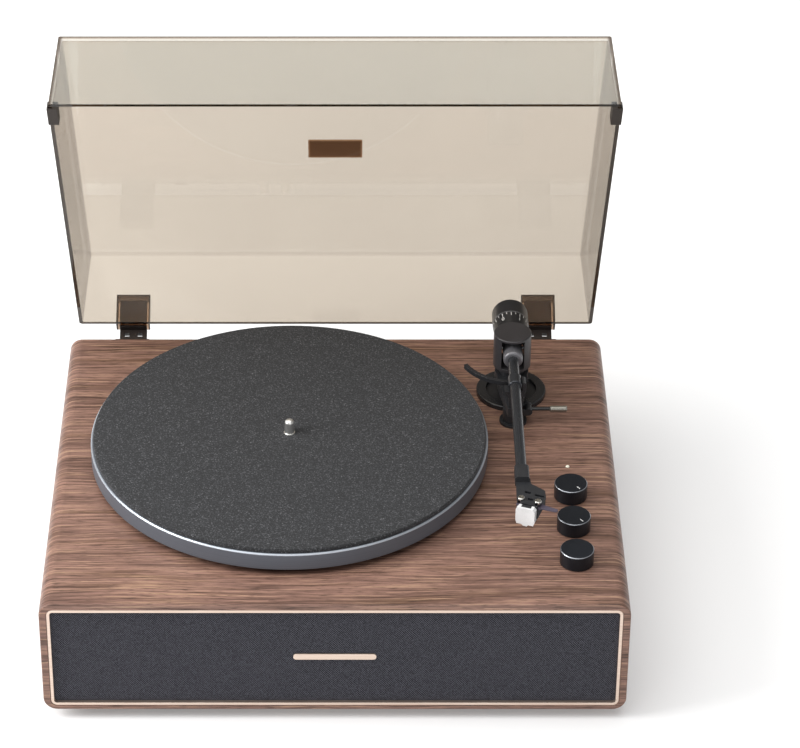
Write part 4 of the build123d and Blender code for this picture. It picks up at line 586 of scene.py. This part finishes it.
def dress_all():
    """Gives every node of the frame its finish."""
    dress(walnut_veneer(), "cabinet_shell")
    dress(pressed_mat(), "platter_mat")
    dress(platter_finish(), "platter")
    dress(champagne_anodised(), "grille_trim", "grille_badge")
    dress(speaker_cloth(), "grille_cloth")
    dress(satin_coat("painted_fibreboard_black", ink("1c1c1d"), rough=0.7, grit_mm=0.8, depth=0.12),
          "back_panel", "front_baffle")
    dress(satin_coat("moulded_rubber_black", ink("161617"), rough=0.78, grit_mm=0.6, depth=0.05),
          "rubber_feet", "motor_grommets", "drive_belt")
    dress(satin_coat("moulded_rubber_brown", ink("29211b"), rough=0.6, grit_mm=0.6), "lid_bumpers")
    dress(satin_coat("satin_lacquer_black", ink("1d1d20"), rough=0.34, grit_mm=0.4),
          "arm_pillar", "counterweight")
    dress(satin_coat("gloss_lacquer_black", ink("232325"), rough=0.2, grit_mm=0.4, depth=0.015),
          "arm_base_ring", "lift_bar")
    dress(satin_coat("satin_lacquer_warm_black", ink("302e30"), rough=0.38, grit_mm=0.4), "arm_yoke")
    dress(satin_coat("satin_lacquer_violet_grey", ink("4d4653"), rough=0.36, grit_mm=0.4), "finger_lift")
    dress(satin_coat("moulded_abs_black", ink("202124"), rough=0.42, grit_mm=0.35, depth=0.04),
          "rest_bracket", "lift_column", "headshell", "cartridge_body", "dc_inlet", "aux_socket",
          "sub_platter")
    dress(hinge_arm_finish(), "hinge_arms")
    dress(satin_coat("moulded_abs_brown", ink("271d18"), rough=0.4, grit_mm=0.35), "hinge_brackets")
    dress(dial_finish(), "force_dial")
    dress(satin_coat("satin_lacquer_grey", ink("6f6e72"), rough=0.34, grit_mm=0.4, metal=0.4), "pivot_collar")
    dress(anodised_tube(), "arm_tube")
    dress(satin_coat("moulded_abs_white", ink("d8d8d8"), rough=0.28), "stylus_assembly")
    dress(bright_metal("nickel_plating", ink("dcdad4"), rough=0.12), "cartridge_screws", "rca_sockets")
    dress(bright_metal("ground_steel_satin", ink("f2f1ee"), rough=0.36), "spindle")
    dress(bright_metal("zinc_plating", ink("a9abad"), rough=0.3),
          "case_screws", "foot_screws", "motor_body", "panel_nuts", "arm_axle", "hinge_pins")
    dress(bright_metal("blackened_steel", ink("3a3a3c"), rough=0.3), "hinge_screws")
    dress(bright_metal("turned_brass", ink("c9a35c"), rough=0.2), "bearing_housing", "motor_pulley")
    dress(satin_coat("painted_steel_grey", ink("2b2c2e"), rough=0.5), "speaker_baskets")
    dress(bright_metal("tinned_steel", ink("9a9b9d"), rough=0.35), "knob_pots")
    dress(bright_metal("tinned_steel_case", ink("9a9b9d"), rough=0.35), "mode_encoder")
    dress(satin_coat("pressed_paper_black", ink("242424"), rough=0.85, grit_mm=1.2, depth=0.2),
          "speaker_cones")
    dress(satin_coat("sintered_ferrite", ink("3b3b3b"), rough=0.6, grit_mm=0.6), "speaker_magnets")
    dress(satin_coat("solder_mask_green", ink("1d5a34"), rough=0.35, grit_mm=0.8), "amplifier_board")
    dress(satin_coat("moulded_nylon_white", ink("d8d8d2"), rough=0.5),
          "board_standoffs", "mode_plunger", "weight_insert")
    dress(satin_coat("led_lens_warm", ink("e9e2d0"), rough=0.15), "pilot_led")
    dress(badge_plate(), "lid_badge")
    dress(pocket_acrylic(), "hinge_pockets")
    dress(lid_acrylic(), "lid")
    for node, pointer in KNOBS.items():
        dress(knob_finish(node, pointer), node)
    dress(lever_finish(), "cue_lever")


# The studio

def soft_lamp(name, at, towards, width, height, power):
    """A rectangular softbox that shines from one place towards another."""
    lamp = bpy.data.lights.new(name, "AREA")
    lamp.shape = "RECTANGLE"
    lamp.size = width
    lamp.size_y = height
    lamp.energy = power
    holder = bpy.data.objects.new(name, lamp)
    bpy.context.scene.collection.objects.link(holder)
    holder.location = at
    holder.rotation_euler = (Vector(towards) - Vector(at)).to_track_quat("-Z", "Y").to_euler()


def white_floor():
    """A white floor whose own light fills the picture to white and leaves a soft shadow."""
    bpy.ops.mesh.primitive_plane_add(size=FLOOR_SIZE, location=(0, FLOOR_Y, 0))
    floor = bpy.context.object
    floor.name = "studio_floor"
    finish, shader, where = new_finish("white_paper_floor")
    rays = add(finish, "LightPath").outputs
    seen = add(finish, "Math", (rays["Is Camera Ray"], rays["Is Glossy Ray"]), operation="MAXIMUM")
    seen = add(finish, "Math", (seen, rays["Is Transmission Ray"]), operation="MAXIMUM")
    # The glow grows away from the player, so that the shadow beside it stays and the rest is white
    patch = (0, (PATCH_Y - FLOOR_Y) * 1000, 0)
    away = add(finish, "VectorMath", (where, patch), operation="SUBTRACT")
    distance = add(finish, "VectorMath", (away,), operation="LENGTH")
    glow = add(finish, "MapRange", (distance, 330, 900, 0.19, 0.55))
    strength = add(finish, "Math", (seen, glow), operation="MULTIPLY")
    feed(finish, shader, {"Base Color": ink("e7e7e7"), "Roughness": 0.9, "Specular IOR Level": 0.0,
                          "Emission Color": ink("ffffff"), "Emission Strength": strength})
    floor.data.materials.append(finish)


def studio():
    """A white surround, three soft lamps and the floor."""
    world = bpy.data.worlds.new("studio_world")
    bpy.context.scene.world = world
    world.use_nodes = True
    world.node_tree.nodes.clear()
    rays = add(world, "LightPath").outputs
    seen = add(world, "Math", (rays["Is Camera Ray"], rays["Is Transmission Ray"]), operation="MAXIMUM")
    strength = add(world, "Mix", {SHARE: seen, PLAIN_A: 0.34, PLAIN_B: 1.0}, data_type="FLOAT")
    sky = add(world, "Background", {"Color": ink("ffffff"), "Strength": strength})
    add(world, "OutputWorld", {"Surface": sky})
    soft_lamp("overhead_softbox", (-0.5, -0.15, 2.1), (-0.2, 0, 0.1), width=3.2, height=2.6, power=52)
    soft_lamp("left_window", (-1.4, -0.35, 0.95), (0, 0, 0.1), width=0.9, height=1.0, power=25)
    soft_lamp("front_fill", (0.6, -2.4, 0.9), (0, 0, 0.1), width=1.4, height=0.8, power=8)
    bpy.context.scene.view_settings.view_transform = "Standard"
    white_floor()


def camera():
    """The photograph's own view: a long lens a little above the player, looking down on it."""
    eye = Vector((0.00614, CABINET_MID.y - 2.08753, 1.5884))
    down = Matrix.Rotation(pi / 2 - radians(33.19), 4, "X")
    yaw = Matrix.Rotation(radians(0.19), 4, "Z")
    roll = Matrix.Rotation(radians(-0.10), 4, "Z")
    data = bpy.data.cameras.new("photo_camera")
    data.sensor_width = 36.0
    data.lens = 152.3
    data.shift_x = 0.0826
    data.shift_y = -0.0500
    holder = bpy.data.objects.new("photo_camera", data)
    bpy.context.scene.collection.objects.link(holder)
    holder.matrix_world = Matrix.Translation(eye) @ yaw @ down @ roll
    bpy.context.scene.camera = holder


camera()
studio()
dress_all()
dial_marks()
